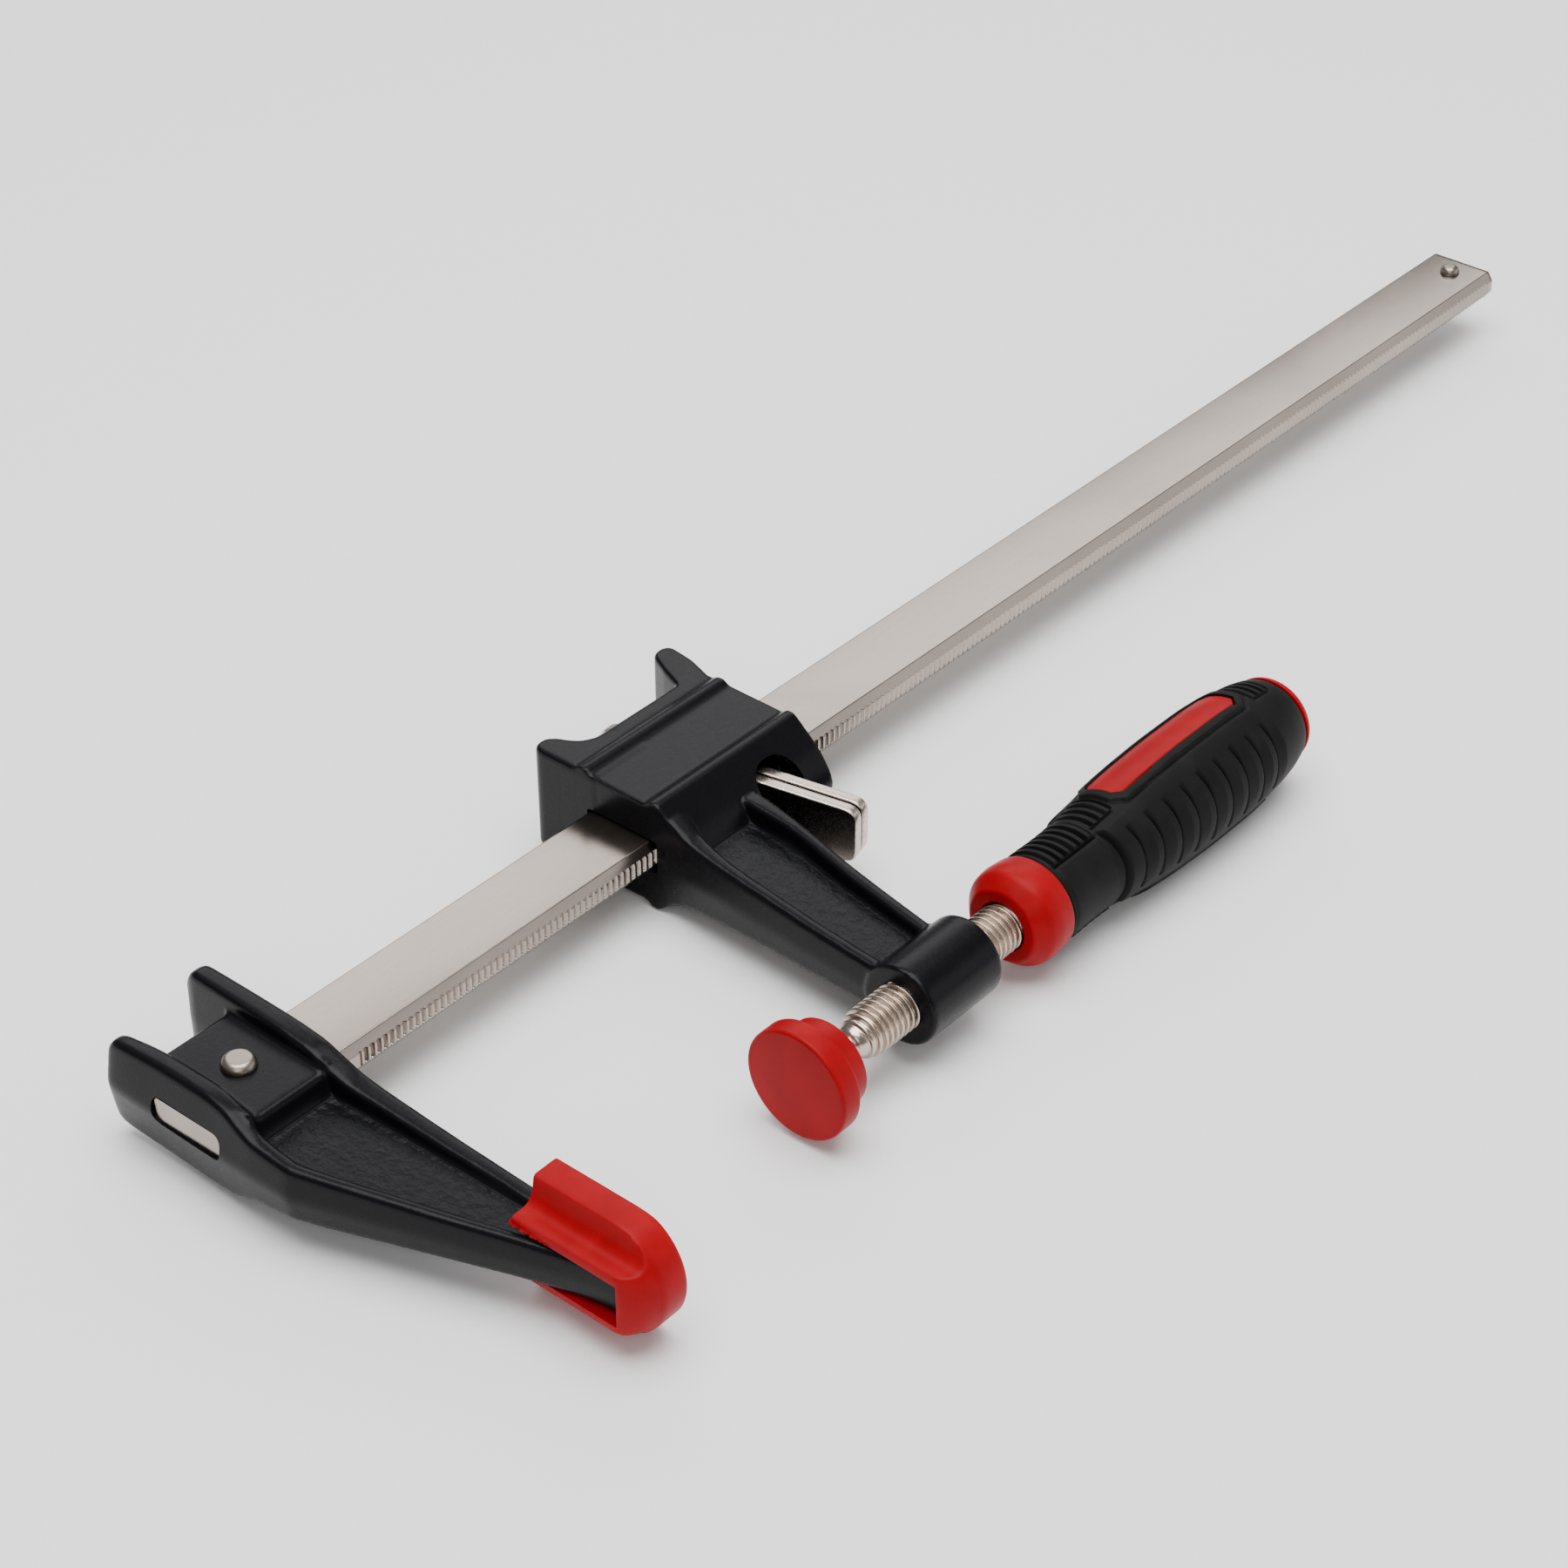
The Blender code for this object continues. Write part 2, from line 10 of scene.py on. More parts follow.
import bmesh
import bpy
import numpy as np
from bpy.props import FloatProperty, FloatVectorProperty, IntProperty, PointerProperty
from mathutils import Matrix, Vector


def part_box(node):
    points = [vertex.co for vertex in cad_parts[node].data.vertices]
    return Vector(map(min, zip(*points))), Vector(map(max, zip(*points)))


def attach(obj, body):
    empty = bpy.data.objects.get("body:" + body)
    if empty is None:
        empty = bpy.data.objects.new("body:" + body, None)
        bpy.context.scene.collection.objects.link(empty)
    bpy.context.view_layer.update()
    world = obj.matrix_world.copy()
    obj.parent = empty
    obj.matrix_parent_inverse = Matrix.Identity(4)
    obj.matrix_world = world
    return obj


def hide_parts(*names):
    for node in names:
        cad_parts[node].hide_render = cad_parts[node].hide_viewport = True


bl_info = {
    "name": "F clamp looks",
    "version": (1, 0, 0),
    "blender": (4, 5, 0),
    "location": "3D View > Sidebar > Clamp",
    "description": "Builds the finished surfaces and materials of an F clamp on its frame",
    "category": "Object",
}

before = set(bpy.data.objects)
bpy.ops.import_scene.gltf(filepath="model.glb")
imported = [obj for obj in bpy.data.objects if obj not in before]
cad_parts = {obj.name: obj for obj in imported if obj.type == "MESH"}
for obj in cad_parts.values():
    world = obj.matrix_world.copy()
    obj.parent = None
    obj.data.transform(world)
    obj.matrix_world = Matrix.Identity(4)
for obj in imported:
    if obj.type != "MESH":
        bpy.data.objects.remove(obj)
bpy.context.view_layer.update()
MM = 0.001


def frame_shift():
    """Millimetres from the maker's origin to the frame's: the cap's face and the bar's middle."""
    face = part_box("fixed_jaw_cap")[1]
    low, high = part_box("bar")
    return np.array([face[0], (low[1] + high[1]) / 2.0, (low[2] + high[2]) / 2.0]) / MM


SHIFT = frame_shift()
RADIAN = math.pi / 180.0
THROAT = -71.5  # the screw's axis, from the middle of the bar
BAR_SLOT = 3.75  # half height of the openings the bar runs through


# ------------------------------------------------------------------ settings
def colour_setting(name, description, default):
    return FloatVectorProperty(name=name, description=description, subtype="COLOR", size=3,
                               min=0.0, max=1.0, default=default)


class ClampMetalSettings(bpy.types.PropertyGroup):
    """Sizes and colours of the metal parts."""
    nickel: colour_setting("Nickel", "Colour of the plated bar", (0.36, 0.305, 0.270))
    thread: colour_setting("Screw", "Colour of the plated screw", (0.55, 0.465, 0.395))
    enamel: colour_setting("Enamel", "Colour of the castings", (0.0030, 0.0030, 0.0042))
    tooth_depth: FloatProperty(name="Tooth depth", default=0.75, min=0.1, max=1.0,
                               description="Depth of the bar's grip teeth in millimetres")
    casting_voxel: FloatProperty(name="Casting grain", default=0.00042, min=0.0003, max=0.001,
                                 unit="LENGTH", precision=5,
                                 description="Size of the casting's surface cells")
    casting_softness: IntProperty(name="Casting softness", default=4, min=0, max=20,
                                  description="Rounds of edge softening on castings")


class ClampGripSettings(bpy.types.PropertyGroup):
    """Sizes and colours of the red and black plastic parts."""
    red: colour_setting("Red", "Colour of the soft faces and the handle",
                        (0.285, 0.0012, 0.0050))
    rubber: colour_setting("Rubber", "Colour of the over-moulded grip",
                           (0.0055, 0.0052, 0.0052))
    groove_depth: FloatProperty(name="Groove depth", default=1.9, min=0.2, max=2.0,
                                description="Depth of the side grooves in millimetres")
    groove_count: IntProperty(name="Grooves", description="Grooves on each side of the grip",
                              default=9, min=3, max=12)


# ------------------------------------------------------------------ surface kit
def smooth_table(x, table):
    """Monotone cubic through the rows (x, a, b, ...) of a table: one column per value, at every x.

    Each slope is the harmonic mean of its neighbours' slopes, or zero where they change sign, and
    between two rows the value is the Hermite cubic of their values and slopes.
    """
    table = np.asarray(table, float)
    table = table[np.argsort(table[:, 0])]
    xs, ys = table[:, 0], table[:, 1:]
    h = np.diff(xs)[:, None]
    d = np.diff(ys, axis=0) / h
    product = d[:-1] * d[1:]
    total = np.where(np.abs(d[:-1] + d[1:]) < 1e-12, 1.0, d[:-1] + d[1:])
    inner = np.where(product > 0.0, 2.0 * product / total, 0.0)
    m = np.vstack([d[:1], inner, d[-1:]])
    x = np.clip(np.asarray(x, float), xs[0], xs[-1])
    k = np.clip(np.searchsorted(xs, x, side="right") - 1, 0, len(xs) - 2)
    t = ((x - xs[k]) / h[k, 0])[:, None]
    return ((2 * t**3 - 3 * t**2 + 1) * ys[k] + (t**3 - 2 * t**2 + t) * h[k] * m[k]
            + (3 * t**2 - 2 * t**3) * ys[k + 1] + (t**3 - t**2) * h[k] * m[k + 1])


def rounded(corners, radius, steps=5, closed=True):
    """Outline with every corner c turned into (1-t)^2 a + 2t(1-t) c + t^2 b.

    a and b lie the radius before and after c, and never past the middle of a side. corners may
    hold many outlines at once: its last two axes are the corner and its coordinates.
    """
    c = np.asarray(corners, float)
    reach = np.broadcast_to(np.asarray(radius, float), c.shape[:-1])[..., None]

    def toward(other):
        way = other - c
        length = np.maximum(np.linalg.norm(way, axis=-1, keepdims=True), 1e-9)
        return c + way / length * np.minimum(reach, 0.49 * length)

    a, b = toward(np.roll(c, 1, axis=-2)), toward(np.roll(c, -1, axis=-2))
    t = np.linspace(0.0, 1.0, steps + 1)[:, None]
    arc = ((1 - t)**2 * a[..., None, :] + 2 * t * (1 - t) * c[..., None, :] + t**2 * b[..., None, :])
    arc = arc.reshape(*c.shape[:-2], -1, c.shape[-1])
    if closed:
        return arc
    inner = arc[..., steps + 1:-(steps + 1), :]
    return np.concatenate([c[..., :1, :], inner, c[..., -1:, :]], axis=-2)


def skin(rows, ring=False):
    """Closed surface over a grid of points: row i, column j to its neighbours, columns wrap round.

    The first and last rows are closed with fans to their centres, or joined if ring is set.
    """
    rows = np.asarray(rows, float)
    count, width = rows.shape[:2]
    j = np.arange(width)[None, :]
    k = (j + 1) % width
    start = np.arange(count if ring else count - 1)[:, None]
    here, there = start * width, (start + 1) % count * width
    quads = np.stack([here + j, here + k, there + k, there + j], axis=-1).reshape(-1, 4)
    verts = rows.reshape(-1, 3)
    if ring:
        return verts, quads, np.empty((0, 3), int)
    hub = count * width
    last = (count - 1) * width
    j, k = j[0], k[0]
    fans = np.vstack([np.stack([np.full(width, hub), k, j], axis=-1),
                      np.stack([np.full(width, hub + 1), last + j, last + k], axis=-1)])
    verts = np.vstack([verts, rows[0].mean(0), rows[-1].mean(0)])
    return verts, quads, fans


def turned(profile, steps=96, ring=False):
    """Surface of revolution about the screw's axis: (x, THROAT + r cos a, r sin a)."""
    profile = np.asarray(profile, float)
    a = np.linspace(0.0, 2.0 * math.pi, steps, endpoint=False)
    x = np.repeat(profile[:, :1], steps, axis=1)
    y = THROAT + profile[:, 1:2] * np.cos(a)
    z = profile[:, 1:2] * np.sin(a)
    return skin(np.stack([x, y, z], axis=-1), ring)


def slab(outline, axis, low, high, edge=0.0, steps=4):
    """Outline carried along an axis, both rims drawn in along a quarter circle of radius edge.

    The outline's inward normal n is its tangent turned a quarter; at the angle a the rim stands at
    p + edge (1 - sin a) n, edge (1 - cos a) in from the end.
    """
    p = np.asarray(outline, float)
    tangent = np.roll(p, -1, axis=0) - np.roll(p, 1, axis=0)
    normal = np.stack([-tangent[:, 1], tangent[:, 0]], axis=-1)
    normal /= np.maximum(np.linalg.norm(normal, axis=-1, keepdims=True), 1e-9)
    area = 0.5 * np.sum(p[:, 0] * np.roll(p[:, 1], -1) - np.roll(p[:, 0], -1) * p[:, 1])
    normal *= math.copysign(1.0, area)
    a = np.linspace(0.0, math.pi / 2.0, steps + 1) if edge > 0.0 else np.array([math.pi / 2.0])
    inset = edge * (1.0 - np.sin(a))
    lift = edge * (1.0 - np.cos(a))
    heights = np.concatenate([low + lift, high - lift[::-1]])
    insets = np.concatenate([inset, inset[::-1]])
    flat = p[None] + insets[:, None, None] * normal[None]
    level = np.broadcast_to(heights[:, None], flat.shape[:2])
    order = {"X": (level, flat[..., 0], flat[..., 1]), "Y": (flat[..., 0], level, flat[..., 1]),
             "Z": (flat[..., 0], flat[..., 1], level)}
    return skin(np.stack(order[axis], axis=-1))


def mesh_of(name, shells):
    """One mesh of closed shells, in the frame's metres, with every face pointing out."""
    verts, sizes, loops, base = [], [], [], 0
    for points, quads, fans in shells:
        verts.append(points)
        for faces in (quads, fans):
            loops.append((faces + base).ravel())
            sizes.append(np.full(len(faces), faces.shape[1]))
        base += len(points)
    verts = (np.vstack(verts) + SHIFT) * MM
    loops, sizes = np.concatenate(loops), np.concatenate(sizes)
    mesh = bpy.data.meshes.new(name)
    mesh.vertices.add(len(verts))
    mesh.vertices.foreach_set("co", verts.astype(np.float32).ravel())
    mesh.loops.add(len(loops))
    mesh.loops.foreach_set("vertex_index", loops.astype(np.int32))
    mesh.polygons.add(len(sizes))
    mesh.polygons.foreach_set("loop_start", (np.cumsum(sizes) - sizes).astype(np.int32))
    mesh.update(calc_edges=True)
    bm = bmesh.new()
    bm.from_mesh(mesh)
    bmesh.ops.recalc_face_normals(bm, faces=bm.faces[:])
    bm.to_mesh(mesh)
    bm.free()
    return mesh


def bake_modifiers(obj):
    """Replace the object's mesh by what its modifiers make of it."""
    bpy.context.view_layer.update()
    graph = bpy.context.evaluated_depsgraph_get()
    mesh = bpy.data.meshes.new_from_object(obj.evaluated_get(graph), depsgraph=graph)
    obj.modifiers.clear()
    obj.data = mesh


def piece(name, shells, material, body, nodes, cuts=(), melt=None, soften=0, sharp=32.0):
    """A finished piece on its body: shells are melted into one skin, softened, then cut."""
    obj = bpy.data.objects.new(name, mesh_of(name, shells))
    bpy.context.scene.collection.objects.link(obj)
    if melt:
        remesh = obj.modifiers.new("melt", "REMESH")
        remesh.mode = "VOXEL"
        remesh.voxel_size = melt
        smooth = obj.modifiers.new("soften", "SMOOTH")
        smooth.factor = 0.5
        smooth.iterations = soften
        bake_modifiers(obj)
    tools = []
    for number, shell in enumerate(cuts):
        tool = bpy.data.objects.new(f"{name}_cut_{number}", mesh_of("cut", [shell]))
        bpy.context.scene.collection.objects.link(tool)
        cut = obj.modifiers.new(tool.name, "BOOLEAN")
        cut.operation = "DIFFERENCE"
        cut.solver = "EXACT"
        cut.object = tool
        tools.append(tool)
    if tools:
        bake_modifiers(obj)
        for tool in tools:
            bpy.data.objects.remove(tool, do_unlink=True)
    obj.data.materials.clear()
    obj.data.materials.append(material)
    obj.data.shade_smooth()
    obj.data.set_sharp_from_angle(angle=sharp * RADIAN)
    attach(obj, body)
    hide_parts(*nodes)
    return obj


# ------------------------------------------------------------------ shader kit
class Signal:
    """A number socket of a material; sums, differences and products of signals add Math nodes."""

    def __init__(self, sheet, socket):
        self.sheet = sheet
        self.socket = socket

    def _math(self, operation, first, second):
        return self.sheet.node("ShaderNodeMath", {"operation": operation}, {0: first, 1: second})

    def __add__(self, other):
        return self._math("ADD", self, other)

    def __radd__(self, other):
        return self._math("ADD", other, self)

    def __sub__(self, other):
        return self._math("SUBTRACT", self, other)

    def __rsub__(self, other):
        return self._math("SUBTRACT", other, self)

    def __mul__(self, other):
        return self._math("MULTIPLY", self, other)

    def __abs__(self):
        return self._math("ABSOLUTE", self, 0.0)


class Sheet:
    """A material under construction."""

    def __init__(self, name):
        self.material = bpy.data.materials.new(name)
        self.material.use_nodes = True
        self.tree = self.material.node_tree
        self.shader = self.tree.nodes["Principled BSDF"]

    def node(self, kind, settings=None, values=None, output=0):
        """Add a node of a kind, with its settings first and then its sockets' values or links."""
        made = self.tree.nodes.new(kind)
        for key, value in (settings or {}).items():
            setattr(made, key, value)
        for key, value in (values or {}).items():
            self.feed(made.inputs[key], value)
        return Signal(self, made.outputs[output])

    def feed(self, socket, value):
        if isinstance(value, Signal):
            self.tree.links.new(value.socket, socket)
        else:
            socket.default_value = value

    def place(self, stretch=(1.0, 1.0, 1.0)):
        """Object coordinates in millimetres, stretched per axis."""
        coords = self.node("ShaderNodeTexCoord", output=3)
        scale = tuple(s / MM for s in stretch)
        return self.node("ShaderNodeMapping", {"vector_type": "POINT"},
                         {"Vector": coords, "Scale": scale})

    def noise(self, size, detail=3.0, rough=0.5, stretch=(1.0, 1.0, 1.0), warp=0.0):
        """Cloudy noise from 0 to 1 whose blotches are about size millimetres across."""
        return self.node("ShaderNodeTexNoise", {"noise_dimensions": "3D"},
                         {"Vector": self.place(stretch), "Scale": 1.0 / size, "Detail": detail,
                          "Roughness": rough, "Distortion": warp})

    def ramp(self, value, low, high):
        """0 below low, 1 above high, smooth between."""
        return self.node("ShaderNodeMapRange", {"interpolation_type": "SMOOTHSTEP"},
                         {"Value": value, "From Min": low, "From Max": high,
                          "To Min": 0.0, "To Max": 1.0})

    def blend(self, share, first, second):
        """Mix two colours by a share from 0 to 1."""
        return self.node("ShaderNodeMix", {"data_type": "RGBA"},
                         {0: share, 6: _rgba(first), 7: _rgba(second)}, output=2)

    def bump(self, height, depth, strength=1.0, under=None):
        """Bump of a height from 0 to 1, depth millimetres deep."""
        values = {"Height": height, "Distance": depth * MM, "Strength": strength}
        if under is not None:
            values["Normal"] = under
        return self.node("ShaderNodeBump", {}, values)

    def set(self, **values):
        names = {"colour": "Base Color", "rough": "Roughness", "metal": "Metallic",
                 "specular": "Specular IOR Level", "normal": "Normal",
                 "subsurface": "Subsurface Weight"}
        for key, value in values.items():
            self.feed(self.shader.inputs[names[key]], _rgba(value) if key == "colour" else value)
        return self.material


def _rgba(colour):
    return colour if isinstance(colour, Signal) else (*tuple(colour)[:3], 1.0)


def shade(colour, factor):
    """The colour made lighter or darker by a factor."""
    return tuple(min(1.0, c * factor) for c in colour)


def nickel_plate(name, colour, roughness=0.24, along=(0.02, 1.0, 1.0), speck=0.06):
    """Drawn and nickel-plated steel: warm silver, cloudy tarnish, fine draw lines and small pits."""
    sheet = Sheet(name)
    cloud = sheet.noise(26.0, 3.0, 0.55, (0.55, 1.0, 1.0), 0.6)
    lines = sheet.noise(0.22, 3.0, 0.6, along)
    grain = sheet.noise(0.35, 4.0, 0.65)
    pits = 1.0 - sheet.ramp(sheet.noise(0.8, 2.0, 0.7), 0.24, 0.33)
    tint = sheet.blend(sheet.ramp(cloud, 0.30, 0.70), shade(colour, 0.88), shade(colour, 1.07))
    tint = sheet.blend(pits * speck * 8.0, tint, shade(colour, 0.55))
    rough = roughness + (cloud - 0.5) * 0.12 + (lines - 0.5) * 0.10 + (grain - 0.5) * 0.06
    fine = sheet.bump(lines, 0.006, 0.35)
    normal = sheet.bump(grain, 0.010, 0.30, fine)
    return sheet.set(colour=tint, rough=rough, metal=1.0, normal=normal)


def stamped_plate(name, colour):
    """Hardened plate: faces painted dark as shade, sheared edges bright with short shear marks."""
    sheet = Sheet(name)
    facing = abs(sheet.node("ShaderNodeVectorMath", {"operation": "DOT_PRODUCT"},
                            {0: sheet.node("ShaderNodeTexCoord", output=1),
                             1: (math.cos(CLUTCH_TILT), math.sin(CLUTCH_TILT), 0.0)}, output=1))
    # mask of the plate's flat faces, the part that gets the painted shade
    face = sheet.ramp(facing, 0.75, 0.95)
    grain = sheet.noise(0.45, 4.0, 0.7, (1.0, 1.0, 0.6))
    blotch = sheet.noise(4.0, 3.0, 0.6)
    edge = sheet.blend(sheet.ramp(grain, 0.35, 0.65), shade(colour, 0.80), shade(colour, 1.22))
    # painted shade: the faces are coloured 0.30 to 0.42 of the steel, in blotches
    painted_face_shade = sheet.blend(blotch, shade(colour, 0.30), shade(colour, 0.42))
    rough = 0.30 + (grain - 0.5) * 0.30 - face * 0.04
    return sheet.set(colour=sheet.blend(face, edge, painted_face_shade), rough=rough, metal=1.0,
                     normal=sheet.bump(grain, 0.05, 0.5))


def enamel_casting(name, colour):
    """Black enamel over a sand casting: orange peel all over, and leathery floors of the pockets."""
    sheet = Sheet(name)
    height = sheet.node("ShaderNodeSeparateXYZ", {}, {0: sheet.place()}, output=2)
    level = abs(height - SHIFT[2])
    floor = 1.0 - sheet.ramp(level, 3.3, 4.3)
    normals = sheet.node("ShaderNodeTexCoord", output=1)
    upward = abs(sheet.node("ShaderNodeSeparateXYZ", {}, {0: normals}, output=2))
    floor = floor * sheet.ramp(upward, 0.80, 0.95)
    peel = sheet.noise(0.9, 3.0, 0.55)
    sand = sheet.noise(0.28, 3.0, 0.6)
    lumps = sheet.noise(1.7, 3.0, 0.55, (1.0, 0.8, 1.0), 0.3)
    tint = sheet.blend(sheet.noise(9.0, 3.0, 0.6), shade(colour, 0.85), shade(colour, 1.25))
    rough = 0.29 + (peel - 0.5) * 0.12 + floor * 0.05
    normal = sheet.bump(peel, 0.07, 0.35)
    normal = sheet.bump(sand, 0.02, 0.30, normal)
    normal = sheet.bump(lumps * floor, 0.55, 0.55, normal)
    return sheet.set(colour=tint, rough=rough, specular=0.13, normal=normal)


def moulded_red(name, colour, roughness=0.40, glow=0.04):
    """Moulded soft plastic: even red, faint flow clouding and a fine matt skin."""
    sheet = Sheet(name)
    cloud = sheet.noise(7.0, 3.0, 0.55, warp=0.5)
    skin_grain = sheet.noise(0.22, 2.0, 0.6)
    dimples = sheet.noise(1.5, 3.0, 0.5)
    tint = sheet.blend(sheet.ramp(cloud, 0.3, 0.7), shade(colour, 0.90), shade(colour, 1.08))
    rough = roughness + (cloud - 0.5) * 0.08 + (skin_grain - 0.5) * 0.08
    normal = sheet.bump(skin_grain, 0.010, 0.35, sheet.bump(dimples, 0.05, 0.25))
    return sheet.set(colour=tint, rough=rough, specular=0.08, normal=normal,
                     subsurface=glow)


def grip_rubber(name, colour):
    """Over-moulded rubber: matt black with spark-eroded grain, greyer where it is handled."""
    sheet = Sheet(name)
    wear = sheet.noise(6.0, 4.0, 0.6)
    grain = sheet.noise(0.20, 3.0, 0.65)
    tint = sheet.blend(sheet.ramp(wear, 0.35, 0.75), colour, shade(colour, 1.55))
    rough = 0.55 + (grain - 0.5) * 0.14 + (wear - 0.5) * 0.08
    return sheet.set(colour=tint, rough=rough, specular=0.10,
                     normal=sheet.bump(grain, 0.030, 0.45))


def stocked(name, make, *values):
    """The material of that name, made the first time it is asked for."""
    return bpy.data.materials.get(name) or make(name, *values)


# ------------------------------------------------------------------ bar and rivets
BAR_START, BAR_END = -27.4, 388.0
TOOTH_PITCH = 1.5875
TEETH = 240
TOOTH_STEPS = 6  # rows of points over one tooth
PLAIN_END = 2.0  # bar left without teeth at its far end
RIM = 8.24  # the toothed rim begins this far from the bar's middle


def bar_shells(depth):
    """Bar section carried along X: the narrow rim moves in by depth times (1 - w).

    w is the tooth wave clip(1.45 sin(pi x / pitch)^2, 0, 1), a flat crest with a round valley.
    """
    first = BAR_END - PLAIN_END - TEETH * TOOTH_PITCH
    teeth_x = first + np.arange(TEETH * TOOTH_STEPS + 1) * TOOTH_PITCH / TOOTH_STEPS
    x = np.concatenate([[BAR_START, BAR_START + 0.2], np.linspace(-20.0, first - 1.0, 4),
                        teeth_x, [BAR_END - 1.2, BAR_END - 0.35, BAR_END - 0.1, BAR_END]])
    half = [(8.5, 2.7), (7.9, 3.4), (-7.1, 3.4), (-8.1, 1.98), (-8.25, 1.77),
            (-8.5, 1.4)]
    corners = np.array(half + [(y, -z) for y, z in reversed(half)])
    radii = [0.25, 0.3, 0.22, 0.02, 0.02, 0.16]
    loop = rounded(corners, radii + radii[::-1], 4)
    inside = (x > first) & (x < BAR_END - PLAIN_END)
    wave = np.clip(1.45 * np.sin(math.pi * (x - first) / TOOTH_PITCH)**2, 0.0, 1.0)
    groove = np.where(inside, depth * (1.0 - wave), 0.0)
    rim = np.clip((-loop[:, 0] - RIM) / 0.15, 0.0, 1.0)
    shrink = np.where(x > BAR_END - 0.3, (x - BAR_END + 0.3) * 0.6, 0.0)
    scale = 1.0 - shrink[:, None] / 8.0
    y = loop[None, :, 0] * scale + groove[:, None] * rim[None]
    z = loop[None, :, 1] * (1.0 - shrink[:, None] / 4.0)
    along = np.repeat(x[:, None], len(loop), axis=1)
    return [skin(np.stack([along, y, z], axis=-1))]


def rivet_shells(x, head, shank, flat):
    """Turned rivet about Z: two low domes over a shank, with the crown flattened.

    head is the dome's foot, its crown and its radius; the dome's radius is r cos(a)^0.75.
    """
    base, top, radius = head
    a = np.linspace(0.0, math.pi / 2.0, 14)
    dome_r = radius * np.cos(a)**0.75
    dome_z = base + (top - base) * np.minimum(np.sin(a), flat) / flat
    dome_r[-1] = 0.05
    upper = np.stack([dome_z, dome_r], axis=-1)
    edge = np.array([(base - 0.25, shank), (base - 0.25, radius * 0.96)])
    half = np.vstack([edge, upper])
    profile = np.vstack([half[::-1] * (-1.0, 1.0), half])
    a = np.linspace(0.0, 2.0 * math.pi, 64, endpoint=False)
    grid = np.stack([x + profile[:, 1:] * np.cos(a), profile[:, 1:] * np.sin(a),
                     np.repeat(profile[:, :1], len(a), axis=1)], axis=-1)
    return [skin(grid)]


# ------------------------------------------------------------------ castings
def wall_shell(table, below=0.0, steps=90, radius=1.15):
    """Upright flange along Y, its section in X and Z changing with the table.

    The table is (y, outer x, inner x, half height, draft): the section is widest at Z = 0, where
    the draft has been added, and below is the share by which the lower half is taller.
    """
    ys = [row[0] for row in table]
    y = np.linspace(max(ys), min(ys), steps)
    x_out, x_in, h, draft = smooth_table(y, table).T
    side = np.sign(x_in - x_out)
    low = h * (1.0 + below)
    zero = np.zeros_like(y)
    corners = np.stack([
        np.stack([x_out - draft * side, zero], -1), np.stack([x_out, h], -1), np.stack([x_in, h], -1),
        np.stack([x_in + 0.4 * draft * side, zero], -1), np.stack([x_in, -low], -1),
        np.stack([x_out, -low], -1)], axis=1)
    loop = rounded(corners, [1.2, radius, radius, 1.0, radius, radius], 5)
    along = np.broadcast_to(y[:, None], loop.shape[:2])
    return skin(np.stack([loop[..., 0], along, loop[..., 1]], axis=-1))


def floor_shell(table, fillet=1.8, steps=150, width=36):
    """Web between two flanges: z = floor(y) + fillet (1 - sqrt(1 - e^2)), e the nearness to a flange.

    The table is (y, low x, high x, floor height); the under side mirrors the upper one.
    """
    ys = [row[0] for row in table]
    y = np.linspace(max(ys), min(ys), steps)
    x0, x1, floor = smooth_table(y, table).T
    t = 0.5 - 0.5 * np.cos(np.linspace(0.0, math.pi, width))
    x = x0[:, None] + (x1 - x0)[:, None] * t
    near = np.minimum(x - x0[:, None], x1[:, None] - x)
    e = np.clip(1.0 - (near - 0.5) / fillet, 0.0, 1.0)
    z = floor[:, None] + fillet * (1.0 - np.sqrt(1.0 - e * e))
    upper = np.stack([x, np.broadcast_to(y[:, None], x.shape), z], axis=-1)
    lower = upper[:, ::-1] * np.array([1.0, 1.0, -1.0])
    return skin(np.concatenate([upper, lower], axis=1))


FIXED_OUTER = (
    (21.6, -26.0, -23.3, 6.9, 1.2), (20.8, -26.2, -23.0, 8.2, 1.5), (18.6, -26.3, -22.8, 9.0, 1.7),
    (9.0, -26.1, -22.1, 9.5, 2.1), (-3.0, -26.2, -22.2, 9.7, 2.2), (-9.0, -26.6, -22.8, 9.1, 1.8),
    (-12.5, -27.0, -23.4, 7.7, 1.4), (-16.5, -27.3, -24.1, 6.3, 1.1), (-24.0, -27.2, -24.2, 5.5, 1.0),
    (-27.5, -26.3, -23.4, 5.35, 0.9), (-40.0, -22.2, -19.4, 4.9, 0.8), (-54.0, -17.5, -14.8, 4.4, 0.6),
    (-66.0, -13.4, -10.8, 4.1, 0.5), (-76.0, -10.6, -8.2, 3.9, 0.4), (-84.3, -9.4, -7.0, 3.8, 0.3))
FIXED_INNER = (
    (24.2, -2.6, -5.4, 7.8, 0.6), (23.4, -2.3, -5.7, 9.4, 0.9), (21.4, -1.9, -6.1, 10.5, 1.0),
    (2.0, -1.8, -6.4, 10.3, 1.0), (-7.5, -1.8, -6.6, 9.6, 0.9), (-12.5, -1.8, -6.7, 8.1, 0.7),
    (-18.0, -1.8, -6.5, 6.5, 0.5), (-26.0, -1.8, -6.1, 5.7, 0.4), (-40.0, -1.9, -5.8, 4.9, 0.3),
    (-60.0, -2.0, -5.4, 4.2, 0.2), (-84.3, -2.1, -5.2, 3.8, 0.1))
